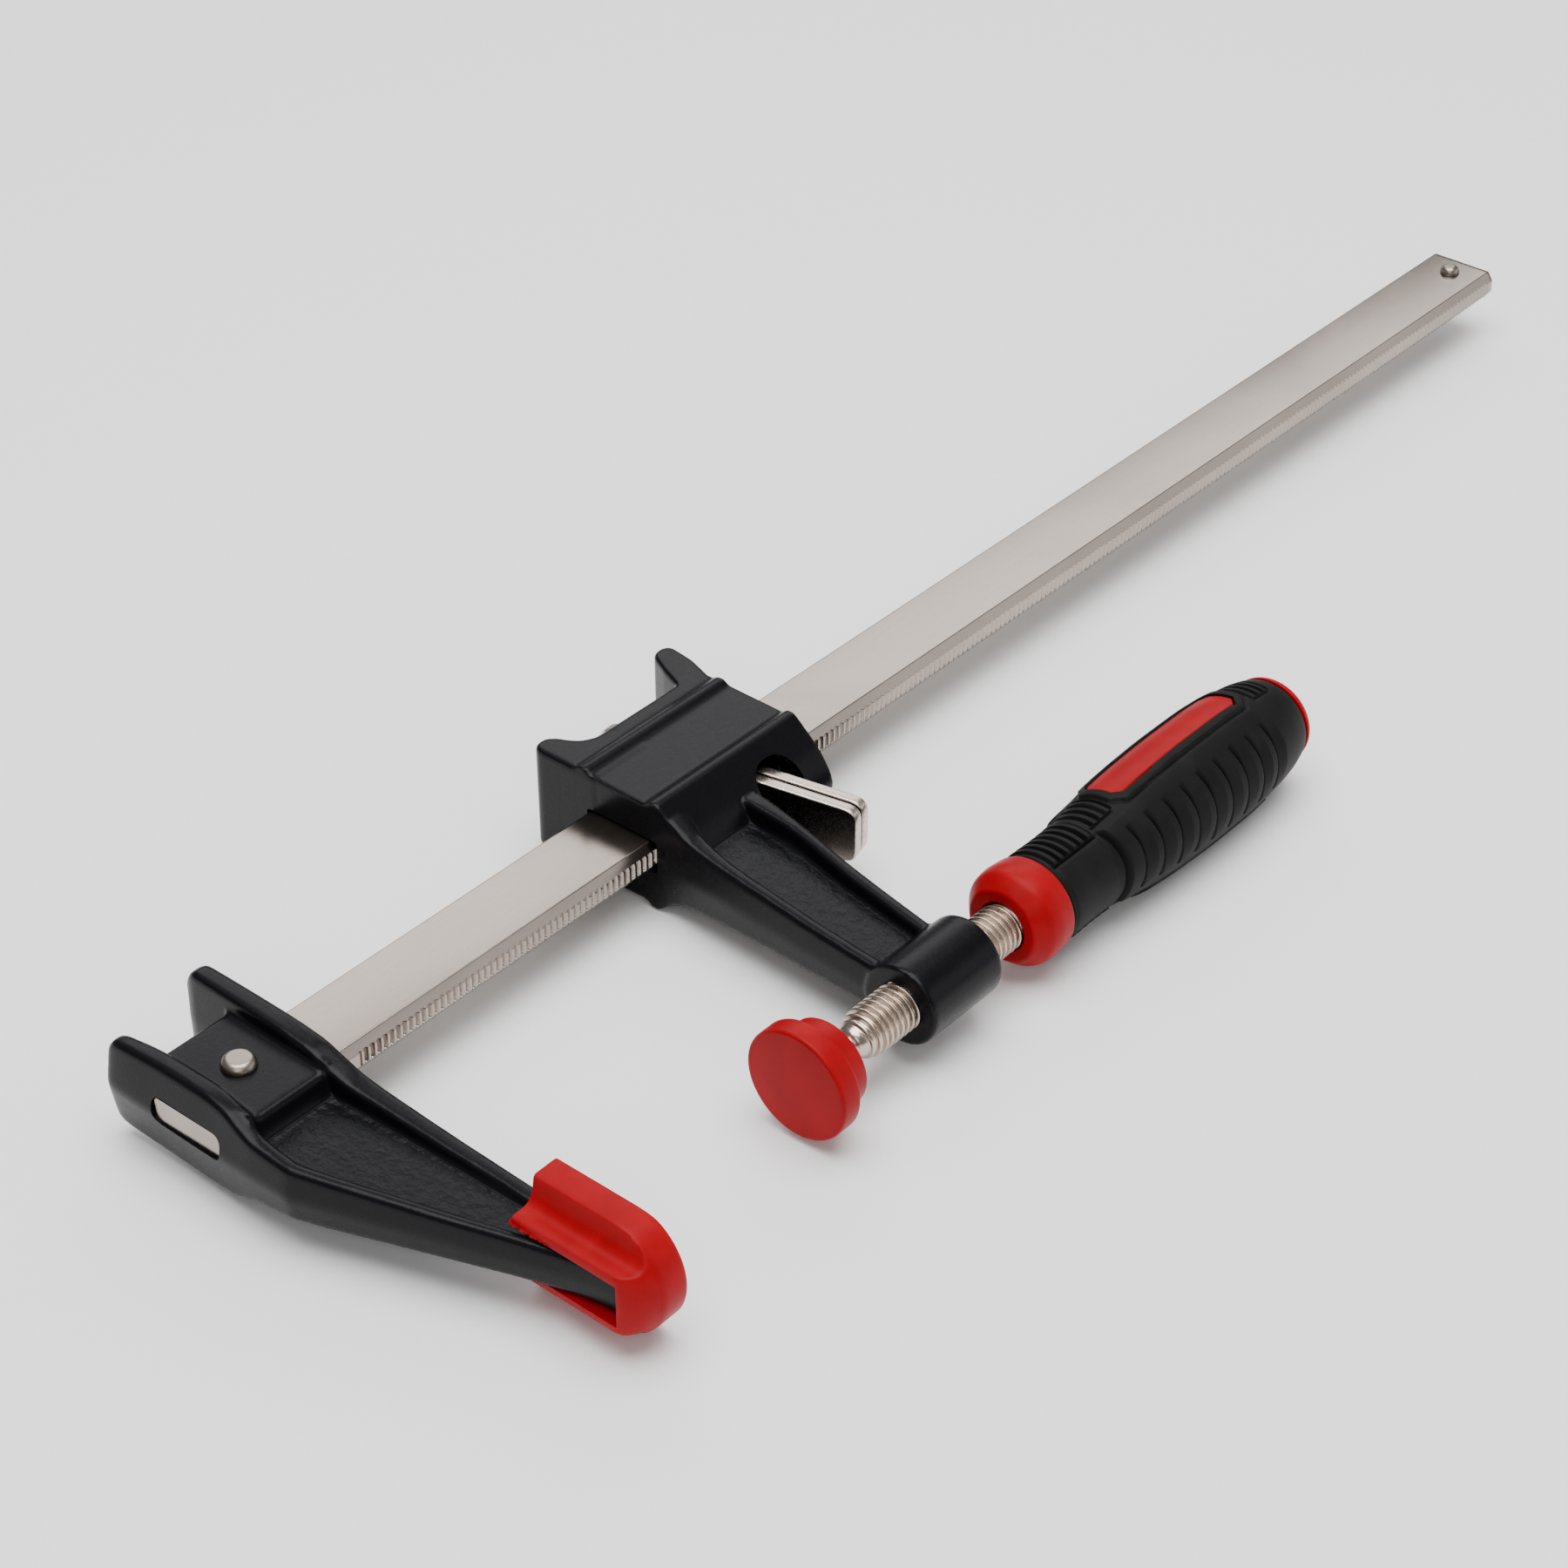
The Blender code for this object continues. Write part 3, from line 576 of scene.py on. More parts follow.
FIXED_FLOOR = (
    (12.3, -23.6, -5.4, 6.9), (11.5, -23.6, -5.4, 7.2), (-11.8, -23.9, -5.8, 7.2),
    (-12.7, -24.0, -5.8, 6.9), (-14.0, -24.3, -5.8, 3.4), (-14.9, -24.6, -5.8, 2.75),
    (-17.0, -25.0, -5.8, 2.6), (-24.0, -25.0, -5.6, 2.55), (-40.0, -20.4, -5.2, 2.5),
    (-54.0, -15.8, -5.0, 2.5), (-66.0, -11.8, -4.8, 2.4), (-76.0, -9.2, -4.6, 2.4),
    (-84.0, -8.0, -4.4, 2.4))


def box_outline(a0, a1, b0, b1, radius, steps=6):
    """Rectangle from (a0, b0) to (a1, b1) with rounded corners."""
    return rounded([(a0, b0), (a1, b0), (a1, b1), (a0, b1)], radius, steps)


def fixed_jaw_shells():
    """Outer and inner flanges of the arm and the web between them, raised to a block on the bar."""
    return [wall_shell(FIXED_OUTER, 0.07), wall_shell(FIXED_INNER), floor_shell(FIXED_FLOOR, 1.5)]


def fixed_jaw_cuts():
    """Slot for the bar, and the rounded window in the outer face that shows the bar's end."""
    return [slab(box_outline(-8.73, 8.74, -3.65, 3.65, 1.0), "X", -24.9, 8.0),
            slab(box_outline(-8.6, 9.1, -1.7, BAR_SLOT, 2.4, 8), "X", -40.0, -24.6)]


def soft_face_shells():
    """Sections at each x: half height softmin(h(x), E(y)), E the ellipse of the face's round end.

    softmin(p, q) is -log(exp(-3 p) + exp(-3 q)) / 3, and each level is (x, h, inset of the rim).
    """
    levels = np.array([
        (0.0, 10.9, 0.5), (-0.12, 11.2, 0.25), (-0.45, 11.45, 0.05), (-1.0, 11.5, 0.0), (-4.9, 11.5, 0.0),
        (-5.4, 11.42, 0.05), (-5.75, 11.1, 0.15), (-5.95, 10.6, 0.2), (-6.15, 9.6, 0.3), (-6.45, 8.5, 0.4),
        (-6.9, 7.5, 0.55), (-7.6, 6.75, 0.8), (-8.5, 6.35, 1.2), (-9.3, 6.3, 1.65), (-10.2, 6.35, 2.4),
        (-11.0, 6.3, 3.4), (-11.45, 6.0, 4.3), (-11.6, 5.6, 4.9)])
    x, h, inset = levels.T
    tip, bend, rear = -90.2, -78.2, -61.4
    t = np.linspace(0.0, math.pi / 2.0, 44)
    side = np.linspace(0.0, 1.0, 16, endpoint=False)
    end = tip + inset
    draw = np.minimum(inset, 0.5)[:, None] * 0.6
    y = np.concatenate([rear - draw + (bend - rear + draw) * side,
                        bend + (end - bend)[:, None] * np.sin(t)], axis=1)
    reach = np.clip((bend - y) / (bend - end)[:, None], 0.0, 1.0)
    ellipse = 11.5 * np.sqrt(np.clip(1.0 - reach**2.2, 0.0, 1.0))
    z = -np.log(np.exp(-3.0 * h[:, None]) + np.exp(-3.0 * ellipse)) / 3.0
    z = np.clip(z, 0.02, None)
    along = np.broadcast_to(x[:, None], y.shape)
    upper = np.stack([along, y, z], axis=-1)
    lower = upper[:, ::-1] * np.array([1.0, 1.0, -1.0])
    return [skin(np.concatenate([upper, lower], axis=1))]


def soft_face_cuts():
    """Pocket the arm's end sits in."""
    return [slab(box_outline(-14.0, -1.5, -84.7, -55.0, 0.9), "Z", -4.5, 4.5)]


def flash_shell(seed=4):
    """Ragged moulding flash: a thin ribbon along the lip whose edge height is a sum of sines of y."""
    rng = np.random.default_rng(seed)
    y = np.linspace(-61.2, -72.0, 90)
    waves = rng.uniform(0.5, 1.0, 5)[:, None] * np.sin(rng.uniform(1.5, 7.0, 5)[:, None] * y
                                                       + rng.uniform(0.0, 6.0, 5)[:, None])
    reach = (0.40 + 0.09 * waves.sum(0)) * np.clip((y + 72.0) / 5.0, 0.0, 1.0) + 0.06
    rows = np.stack([
        np.stack([np.full_like(y, -11.2), y, np.full_like(y, 5.5)], -1),
        np.stack([-11.45 - reach, y, 4.9 - 0.4 * reach], -1),
        np.stack([-11.40 - reach, y, 4.8 - 0.4 * reach], -1),
        np.stack([np.full_like(y, -11.2), y, np.full_like(y, 5.0)], -1)], axis=1)
    return skin(rows)


HOUSING = [(16.2, 11.4), (11.9, 11.6), (10.9, 12.4), (9.4, 12.55), (8.1, 11.5), (-6.0, 11.35),
           (-7.1, 12.45), (-8.8, 12.4), (-10.8, 10.75), (-12.9, 8.9), (-15.2, 6.8),
           (-17.2, 4.2), (-18.5, 1.8), (-18.9, 0.0)]
SLIDE_FRONT = (
    (-7.0, 83.0, 87.4, 10.6, 0.2), (-9.0, 82.9, 87.4, 10.9, 0.3), (-12.0, 82.6, 87.2, 10.0, 0.5),
    (-15.0, 82.3, 86.8, 8.7, 0.7), (-17.5, 82.0, 86.2, 7.8, 0.8), (-27.0, 81.3, 84.5, 6.6, 0.8),
    (-38.0, 80.6, 83.6, 5.9, 0.7), (-49.0, 79.8, 82.7, 5.3, 0.6), (-66.0, 78.7, 81.6, 4.8, 0.5))
SLIDE_REAR = (
    (-10.0, 104.4, 99.6, 6.6, 0.4), (-13.0, 104.3, 99.8, 7.0, 0.4), (-16.0, 104.2, 100.0, 7.2, 0.5),
    (-24.0, 103.1, 99.8, 6.9, 0.6), (-45.0, 98.9, 95.9, 5.9, 0.6), (-66.0, 95.2, 92.2, 5.2, 0.5))
SLIDE_FLOOR = (
    (-12.0, 84.0, 103.2, 6.6), (-14.6, 83.9, 102.6, 5.0), (-16.8, 83.8, 102.2, 3.7),
    (-18.6, 83.6, 101.8, 3.0), (-20.0, 83.4, 101.4, 2.75), (-45.0, 82.2, 97.4, 2.7),
    (-66.0, 80.4, 93.8, 2.7))
HOUSING_START, HOUSING_END = 82.6, 123.4
BOSS_START, BOSS_END, BOSS_RADIUS, BOSS_BORE = 78.0, 98.0, 8.25, 4.94


def sliding_jaw_shells():
    """Ribbed housing section carried along X, two rear horns, arm flanges, web and turned boss."""
    upper = np.array(HOUSING)
    lower = (upper[:-1] * (1.0, -1.0))[::-1]
    radii = [0.5, 1.0, 0.7, 0.7, 1.0, 1.0, 0.6, 0.7, 1.6, 1.8, 1.8, 1.8, 1.2]
    section = rounded(np.vstack([upper, lower]), radii + [0.8] + radii[::-1], 5)
    near = rounded([(82.5, 6.0), (82.5, 21.8), (83.8, 23.4), (86.4, 23.5), (88.2, 21.8),
                    (89.2, 19.4), (90.8, 17.4), (93.6, 16.1), (98.0, 15.7), (98.0, 6.0)], 1.2, 5)
    far = rounded([(115.0, 7.0), (115.2, 15.4), (117.0, 16.6), (119.0, 21.6), (121.4, 26.4),
                   (122.8, 27.55), (125.2, 27.55), (126.6, 26.2), (125.8, 20.0), (123.1, 12.0),
                   (123.1, 7.0)], 0.9, 5)
    boss = rounded([(BOSS_START, 0.5), (BOSS_START, BOSS_RADIUS), (BOSS_END, BOSS_RADIUS),
                    (BOSS_END, 0.5)], [0.2, 0.7, 0.7, 0.2], 5, closed=False)
    return [slab(section, "X", HOUSING_START, HOUSING_END, 0.35), slab(near, "Z", -11.6, 11.6, 0.8),
            slab(far, "Z", -11.4, 11.4, 0.8), wall_shell(SLIDE_FRONT), wall_shell(SLIDE_REAR),
            floor_shell(SLIDE_FLOOR, 1.8), turned(boss, 96)]


def sliding_jaw_cuts():
    """Bar slot, the clutch's cavity with its window, and the bore for the screw."""
    cavity = rounded([(95.6, -11.0), (119.2, -11.0), (119.2, 9.4), (114.8, 15.4), (114.8, 34.0),
                      (95.6, 34.0)], 0.8, 4)
    return [slab(box_outline(-8.9, 8.9, -BAR_SLOT, BAR_SLOT, 0.9), "X", 60.0, 140.0),
            slab(cavity, "Z", -8.1, 8.1),
            slab(box_outline(104.8, 116.4, -9.7, 9.7, 5.4, 8), "Y", -40.0, -9.0),
            turned([(BOSS_START - 8.0, BOSS_BORE), (BOSS_END + 8.0, BOSS_BORE)], 96)]


# ------------------------------------------------------------------ clutch, screw and pad
CLUTCH_PIVOT = (106.9, -13.0)
CLUTCH_TILT = 13.5 * RADIAN
PLATE_THICK, PLATE_STEP = 2.5, 3.0


def clutch_shell(start):
    """Plate outline in its own plane, rim rounded, then tilted by the clutch angle about the pivot."""
    half = [(-21.4, 4.7), (-19.9, 6.1), (2.0, 6.8), (31.5, 7.2), (35.6, 6.0), (37.1, 2.4)]
    outline = rounded(half + [(y, -z) for y, z in reversed(half)],
                      [1.6, 1.6, 6.0, 3.0, 2.2, 2.2] * 2, 6)
    verts, quads, fans = slab(outline, "X", start, start + PLATE_THICK, 0.45)
    c, s = math.cos(CLUTCH_TILT), math.sin(CLUTCH_TILT)
    turn = np.array([(c, s, 0.0), (-s, c, 0.0), (0.0, 0.0, 1.0)])
    return verts @ turn + np.array([*CLUTCH_PIVOT, 0.0]), quads, fans


def clutch_cut():
    """Clearance round the bar, wide enough for the plate in any position."""
    return slab(box_outline(-9.9, 9.9, -3.7, 3.7, 0.6), "X", 80.0, 130.0)


THREAD_START, THREAD_END, PITCH = 65.0, 109.4, 1.5
BALL = 55.4  # centre of the screw's ball end


def spindle_shells():
    """Rod about the throat axis: r(x, a) = root(x) + depth(x) w(x / pitch - a / 2 pi), w a rounded tooth.

    Root and depth grow over the first 3.6 of the thread, where the screw's point is chamfered.
    """
    a = np.linspace(0.0, 2.0 * math.pi, 72, endpoint=False)
    plain = [(BALL - 3.0 * math.cos(t), 3.0 * math.sin(t)) for t in np.linspace(0.12, 2.3, 16)]
    plain += [(58.2, 2.2), (63.0, 2.2), (63.3, 2.3), (63.6, 2.7), (64.0, 3.0), (64.4, 3.15),
              (64.9, 3.3)]
    plain = np.array(plain)
    x = np.linspace(THREAD_START, THREAD_END, 560)
    phase = (x[:, None] / PITCH - a[None] / (2.0 * math.pi)) % 1.0
    wave = np.clip(1.35 - 3.6 * np.abs(phase - 0.5), 0.0, 1.0)
    wave = wave * wave * (3.0 - 2.0 * wave)
    fade = np.clip(np.minimum((x - THREAD_START) / 0.6, (THREAD_END - x) / 1.2), 0.0, 1.0)[:, None]
    taper = 1.5 * (1.0 - np.clip((x - THREAD_START) / 3.6, 0.0, 1.0)**0.8)[:, None]
    thread = 3.95 - 0.45 * taper + (0.90 - 0.35 * taper) * (wave * fade + (1.0 - fade) * 0.3)
    tail = np.array([(110.0, 4.6), (146.6, 4.6), (147.0, 4.2)])
    radii = np.vstack([np.repeat(plain[:, 1:], len(a), axis=1), thread,
                       np.repeat(tail[:, 1:], len(a), axis=1)])
    along = np.concatenate([plain[:, 0], x, tail[:, 0]])[:, None] + 0.0 * a
    return [skin(np.stack([along, THROAT + radii * np.cos(a), radii * np.sin(a)], axis=-1))]


def at_ball(profile, radii, steps=6):
    """Open profile measured from the ball's centre, corners rounded and moved into place."""
    profile = rounded(profile, radii, steps, closed=False)
    return profile + np.array([BALL, 0.0])


def pad_cap_shells():
    """Turned soft pad: flat disc with a round rim, a waist and a smaller collar behind."""
    corners = [(-4.7, 0.05), (-4.7, 7.9), (2.0, 7.9), (2.0, 7.3), (2.8, 7.3), (3.1, 7.5),
               (3.1, 8.7), (-1.3, 9.15), (-1.9, 11.2), (-6.4, 11.2), (-6.4, 0.05)]
    radii = [0.1, 0.2, 0.2, 0.1, 0.15, 0.3, 0.6, 0.9, 0.45, 0.8, 0.1]
    return [turned(at_ball(corners, radii), 120)]


def swivel_plate_shells():
    """Turned steel plate inside the pad, with the socket that holds the ball."""
    corners = [(-3.35, 0.05), (-3.35, 0.9), (-2.2, 2.4), (0.0, 3.2), (1.0, 3.2), (1.8, 3.0),
               (1.8, 7.7), (-4.3, 7.7), (-4.3, 0.05)]
    return [turned(at_ball(corners, [0.1, 0.3, 0.8, 0.8, 0.3, 0.2, 0.3, 0.2, 0.1]), 80)]


def neck_clip_shells():
    """Ring round the screw's neck that keeps the pad on."""
    ring = rounded([(3.1, 2.45), (4.0, 2.45), (4.0, 4.0), (3.1, 4.0)], 0.2, 4) + np.array([BALL, 0.0])
    return [turned(ring, 64, ring=True)]


# ------------------------------------------------------------------ handle
GRIP_START, GRIP_END = 118.4, 196.2
GRIP_BORE = 7.45
GRIP_PROFILE = ((GRIP_START, 9.25), (121.0, 9.35), (126.0, 9.25), (131.0, 9.35), (137.0, 10.1),
                (145.0, 11.3), (155.0, 11.9), (165.0, 12.15), (175.0, 12.1), (185.0, 11.5),
                (190.0, 10.9), (194.0, 10.0), (GRIP_END, 9.2))
LABEL_MID, LABEL_HALF, LABEL_SIDE = 163.1, 20.2, 4.4  # middle, half length, half width
LABEL_TURN = 19.5 * RADIAN  # the label leans this far from straight up
GROOVE_FIRST, GROOVE_RUN = 138.6, 43.2  # first side groove, and from it to the last


def step_up(value, low, high):
    """0 below low, 1 above high, 3 t^2 - 2 t^3 between."""
    t = np.clip((value - low) / (high - low), 0.0, 1.0)
    return t * t * (3.0 - 2.0 * t)


def ridge(distance, width):
    """Smooth hump of height 1 and half-width width."""
    return np.exp(-(distance / width)**2)


def label_distance(x, s):
    """Signed distance in millimetres to the label field, a long rectangle with cut corners."""
    px, ps = np.abs(x - LABEL_MID) - LABEL_HALF, np.abs(s) - LABEL_SIDE
    square = np.minimum(np.maximum(px, ps), 0.0) + np.hypot(np.maximum(px, 0.0), np.maximum(ps, 0.0))
    return np.maximum(square, (px + ps + 1.6) / math.sqrt(2.0))


def grip_relief(x, around, base, depth, count):
    """Height over the plain profile at (x, angle from the label).

    fold is that angle in degrees, folded so that top and underside are alike. In turn: thumb ribs
    on the neck, the side panels' ends, side grooves, label border and the ribs beside the label.
    """
    turn = np.abs(around) / RADIAN
    fold = np.minimum(turn, 180.0 - turn)
    arc = base * np.minimum(np.abs(around), math.pi - np.abs(around))
    height = np.zeros(np.broadcast(x, around).shape)
    top = 1.0 - step_up(fold, 36.0, 38.5)
    ribs = step_up(np.cos(2.0 * math.pi * (x - 120.6) / 2.1), -0.75, 0.25)
    neck = step_up(x, 119.4, 119.8) * (1.0 - step_up(x, 131.8, 132.3))
    height += top * neck * (1.15 * ribs - 0.85)
    height += (1.0 - top) * neck * 0.15
    height -= (0.75 * ridge(fold - 40.0, 1.8) * step_up(x, 119.0, 120.0)
               * (1.0 - step_up(x, 132.0, 133.0)))
    bulge = 133.4 + 1.5 * np.clip(1.0 - ((fold - 90.0) / 52.0)**2, 0.0, 1.0)
    side = step_up(fold, 36.0, 42.0)
    height -= side * ridge(x - bulge, 0.42)
    height += (side * 0.55 * step_up(x, bulge, bulge + 0.9)
               * (1.0 - step_up(x, bulge + 1.0, bulge + 11.0)))
    window = np.cos(np.clip((fold - 89.0) / 37.0, -1.0, 1.0) * math.pi / 2.0)
    for k in range(count):
        gap = x - (GROOVE_FIRST + k * GROOVE_RUN / (count - 1)) - window
        ramp = np.clip(1.0 - gap / 3.2, 0.0, 1.0) * (gap > -0.05)
        crease = np.where(gap < 0.0, ridge(gap, 0.30), ridge(gap, 0.72)) * window**0.4
        height -= depth * np.maximum(crease, 0.50 * ramp * window) * (window > 0.02)
    distance = label_distance(x, arc)
    near = 1.0 - step_up(distance, 1.9, 2.3)
    height += 0.42 * near * step_up(distance, 0.0, 0.4)
    height -= 0.35 * ridge(distance - 2.5, 0.30)
    height = np.where((turn < 90.0) & (distance < 0.25), -1.5, height)
    height = np.where((turn >= 90.0) & (distance < 0.25), 0.05, height)
    inner = 1.0 - step_up(fold, 26.5, 28.0)
    across = step_up(np.cos(2.0 * math.pi * (x - 134.9) / 1.95), -0.75, 0.25)
    front = step_up(x, 133.0, 133.3) * (1.0 - step_up(x, 139.6, 140.0))
    back = step_up(x, 186.0, 186.3) * (1.0 - step_up(x, 192.4, 192.8))
    height -= (front + back) * inner * 0.85 * (1.0 - across)
    gutter = ridge(fold - 30.0, 1.3)
    height -= 0.6 * gutter * (step_up(x, 132.4, 133.4) * (1.0 - step_up(x, 139.0, 140.0))
                              + step_up(x, 186.0, 187.0) * (1.0 - step_up(x, 191.8, 192.8)))
    return height


def grip_shells(depth, count):
    """Grip skin: r(x, a) = profile(x) + relief(x, a), closed round an inner sleeve."""
    x = np.linspace(GRIP_START, GRIP_END, 470)
    around = np.linspace(-math.pi, math.pi, 208, endpoint=False)
    base = smooth_table(x, GRIP_PROFILE)
    rim = np.minimum(x - GRIP_START, GRIP_END - x)[:, None]
    relief = grip_relief(x[:, None], around[None], base, depth, count) * step_up(rim, 0.0, 0.5)
    radii = base + relief - 0.45 * (1.0 - step_up(rim, 0.0, 0.6))
    sleeve = np.full((1, len(around)), GRIP_BORE)
    radii = np.vstack([sleeve, radii, sleeve])
    along = np.concatenate([x[:1], x, x[-1:]])[:, None] + 0.0 * around
    angle = around + LABEL_TURN
    return [skin(np.stack([along, THROAT + radii * np.sin(angle), radii * np.cos(angle)], axis=-1),
                 ring=True)]


def label_shell():
    """Red field in the grip's window: the profile's surface over the label outline, rim rounded."""
    x = LABEL_MID + (LABEL_HALF + 0.15) * np.sin(np.linspace(-math.pi / 2.0, math.pi / 2.0, 120))
    base = smooth_table(x, GRIP_PROFILE)
    short = np.clip(np.abs(x - LABEL_MID) - LABEL_HALF + 1.6, 0.0, 1.6)
    half = (LABEL_SIDE + 0.15 - short)[:, None] / base
    t = np.sin(np.linspace(-math.pi / 2.0, math.pi / 2.0, 40))
    top = half * t
    edge = np.minimum(1.0 - np.abs(t), 0.06) / 0.06
    ends = step_up(LABEL_HALF + 0.15 - np.abs(x - LABEL_MID), 0.0, 0.35)[:, None]
    upper = base + 0.02 - 0.30 * (1.0 - np.sqrt(np.clip(edge, 0.0, 1.0))) - 0.3 * (1.0 - ends)
    lower = base - 2.2 + 0.0 * t
    angle = np.concatenate([top, top[:, ::-1]], axis=1) + LABEL_TURN
    radii = np.concatenate([upper, lower[:, ::-1]], axis=1)
    along = x[:, None] + 0.0 * angle
    return skin(np.stack([along, THROAT + radii * np.sin(angle), radii * np.cos(angle)], axis=-1))


def handle_core_shells():
    """Turned core: round-shouldered collar in front, sleeve under the grip and a thin rim behind."""
    corners = [(146.0, 0.05), (146.0, 4.75), (110.4, 4.75), (110.4, 5.1), (108.2, 5.1),
               (108.2, 7.5), (111.2, 10.0), (113.6, 10.3), (117.6, 9.95), (118.3, 9.2),
               (118.3, 7.2), (196.5, 7.2), (196.5, 9.3), (197.6, 9.1), (198.7, 8.1), (199.2, 6.4),
               (199.2, 0.05)]
    radii = [0.1, 0.1, 0.1, 0.1, 0.35, 0.6, 0.9, 0.9, 0.5, 0.3, 0.3, 0.3, 0.3, 0.7, 0.8, 0.7, 0.1]
    core = turned(rounded(corners, radii, 6, closed=False), 120)
    return [core, label_shell()]


# ------------------------------------------------------------------ operators
def metal():
    return bpy.context.scene.clamp_metal


def plastic():
    return bpy.context.scene.clamp_grip


def casting():
    return stocked("black_enamel", enamel_casting, metal().enamel)


def screw_nickel():
    return stocked("screw_nickel", nickel_plate, metal().thread, 0.26, (1.0, 0.3, 0.3))


def soft_red():
    return stocked("soft_red_vinyl", moulded_red, plastic().red)


class CLAMP_OT_bar(bpy.types.Operator):
    """Flat nickel-plated bar with its bevelled, toothed rim"""
    bl_idname = "clamp.bar"
    bl_label = "Bar"

    def execute(self, context):
        nickel = stocked("bar_nickel", nickel_plate, metal().nickel)
        piece("bar_surface", bar_shells(metal().tooth_depth), nickel, "frame",
              ["bar"], sharp=40.0)
        return {"FINISHED"}


class CLAMP_OT_rivets(bpy.types.Operator):
    """Rivet through the fixed jaw and the small stop rivet at the bar's end"""
    bl_idname = "clamp.rivets"
    bl_label = "Rivets"

    def execute(self, context):
        nickel = stocked("rivet_nickel", nickel_plate, shade(metal().nickel, 0.92), 0.34,
                         (1.0, 1.0, 1.0))
        piece("jaw_rivet_surface", rivet_shells(-15.0, (7.3, 8.95, 3.3), 2.0, 0.80), nickel, "frame",
              ["fixed_jaw_rivet"])
        piece("stop_rivet_surface", rivet_shells(381.4, (3.6, 5.2, 2.3), 1.6, 0.92), nickel, "frame",
              ["end_stop_rivet"])
        return {"FINISHED"}


class CLAMP_OT_fixed_jaw(bpy.types.Operator):
    """Fixed jaw casting with its raised block, recessed arm and bar slot"""
    bl_idname = "clamp.fixed_jaw"
    bl_label = "Fixed jaw"

    def execute(self, context):
        piece("fixed_jaw_casting", fixed_jaw_shells(), casting(), "frame",
              ["fixed_jaw"], fixed_jaw_cuts(), metal().casting_voxel, metal().casting_softness)
        return {"FINISHED"}


class CLAMP_OT_soft_face(bpy.types.Operator):
    """Soft red face that slips over the fixed jaw's arm"""
    bl_idname = "clamp.soft_face"
    bl_label = "Soft face"

    def execute(self, context):
        shells = soft_face_shells() + [flash_shell()]
        piece("soft_face", shells, soft_red(), "frame", ["fixed_jaw_cap"],
              soft_face_cuts())
        return {"FINISHED"}


class CLAMP_OT_sliding_jaw(bpy.types.Operator):
    """Sliding jaw casting with its housing, horns, arm and screw boss"""
    bl_idname = "clamp.sliding_jaw"
    bl_label = "Sliding jaw"

    def execute(self, context):
        piece("sliding_jaw_casting", sliding_jaw_shells(), casting(), "sliding_arm",
              ["sliding_jaw"], sliding_jaw_cuts(), metal().casting_voxel, metal().casting_softness)
        return {"FINISHED"}


class CLAMP_OT_clutch_plates(bpy.types.Operator):
    """Two hardened clutch plates with their thumb ends"""
    bl_idname = "clamp.clutch_plates"
    bl_label = "Clutch plates"

    def execute(self, context):
        steel = stocked("hardened_plate", stamped_plate, shade(metal().nickel, 1.6))
        for name, start in (("clutch_plate_front", 0.0), ("clutch_plate_rear", PLATE_STEP)):
            piece(name + "_surface", [clutch_shell(start)], steel, "clutch",
                  [name], [clutch_cut()])
        return {"FINISHED"}


class CLAMP_OT_spindle(bpy.types.Operator):
    """Screw with its rolled right-hand thread, neck and ball end"""
    bl_idname = "clamp.spindle"
    bl_label = "Spindle"

    def execute(self, context):
        piece("spindle_surface", spindle_shells(), screw_nickel(), "screw",
              ["spindle"], sharp=60.0)
        return {"FINISHED"}


class CLAMP_OT_swivel_pad(bpy.types.Operator):
    """Soft swivel pad with its steel socket plate and retaining ring"""
    bl_idname = "clamp.swivel_pad"
    bl_label = "Swivel pad"

    def execute(self, context):
        piece("pad_soft_cap", pad_cap_shells(), soft_red(), "pad", ["pad_cap"])
        piece("pad_socket", swivel_plate_shells(), screw_nickel(), "pad",
              ["pad_swivel_plate"])
        piece("neck_ring", neck_clip_shells(), screw_nickel(), "screw_carrier",
              ["neck_clip"])
        return {"FINISHED"}


class CLAMP_OT_handle_core(bpy.types.Operator):
    """Red handle core with its collar, label field and end rim"""
    bl_idname = "clamp.handle_core"
    bl_label = "Handle core"

    def execute(self, context):
        red = stocked("hard_red_plastic", moulded_red, plastic().red, 0.38, 0.03)
        piece("handle_core_surface", handle_core_shells(), red, "screw",
              ["handle_core"])
        return {"FINISHED"}


class CLAMP_OT_handle_grip(bpy.types.Operator):
    """Black over-moulded grip with ribs, side grooves and a raised label border"""
    bl_idname = "clamp.handle_grip"
    bl_label = "Handle grip"

    def execute(self, context):
        rubber = stocked("grip_rubber", grip_rubber, plastic().rubber)
        shells = grip_shells(plastic().groove_depth, plastic().groove_count)
        piece("handle_grip_surface", shells, rubber, "screw", ["handle_grip"],
              sharp=50.0)
        return {"FINISHED"}


CAMERA_AT = (-305.404, -369.153, 396.824)
CAMERA_AIM = (116.834, -11.539, 0.0)
# name, place, aim, width, height, watts
LIGHTS = (
    ("overhead", (60.0, -60.0, 1500.0), (100.0, -20.0, 0.0), 1500.0, 1300.0, 44.0),
    ("far_side", (1150.0, 880.0, 1010.0), (110.0, 0.0, 0.0), 1500.0, 700.0, 9.5),
    ("near_side", (-900.0, -750.0, 850.0), (60.0, -30.0, 0.0), 900.0, 700.0, 4.5),
    ("low_strip", (1050.0, -1120.0, 480.0), (110.0, -20.0, 0.0), 1600.0, 620.0, 3.2),
)


def to_frame(point):
    """A point in the maker's millimetres, in the frame's metres."""
    return tuple((np.array(point) + SHIFT) * MM)


def look_along(obj, start, aim):
    """Place an object at start, its own -Z toward aim and its Y up."""
    start, aim = Vector(to_frame(start)), Vector(to_frame(aim))
    obj.location = start
    obj.rotation_euler = (aim - start).to_track_quat("-Z", "Y").to_euler()


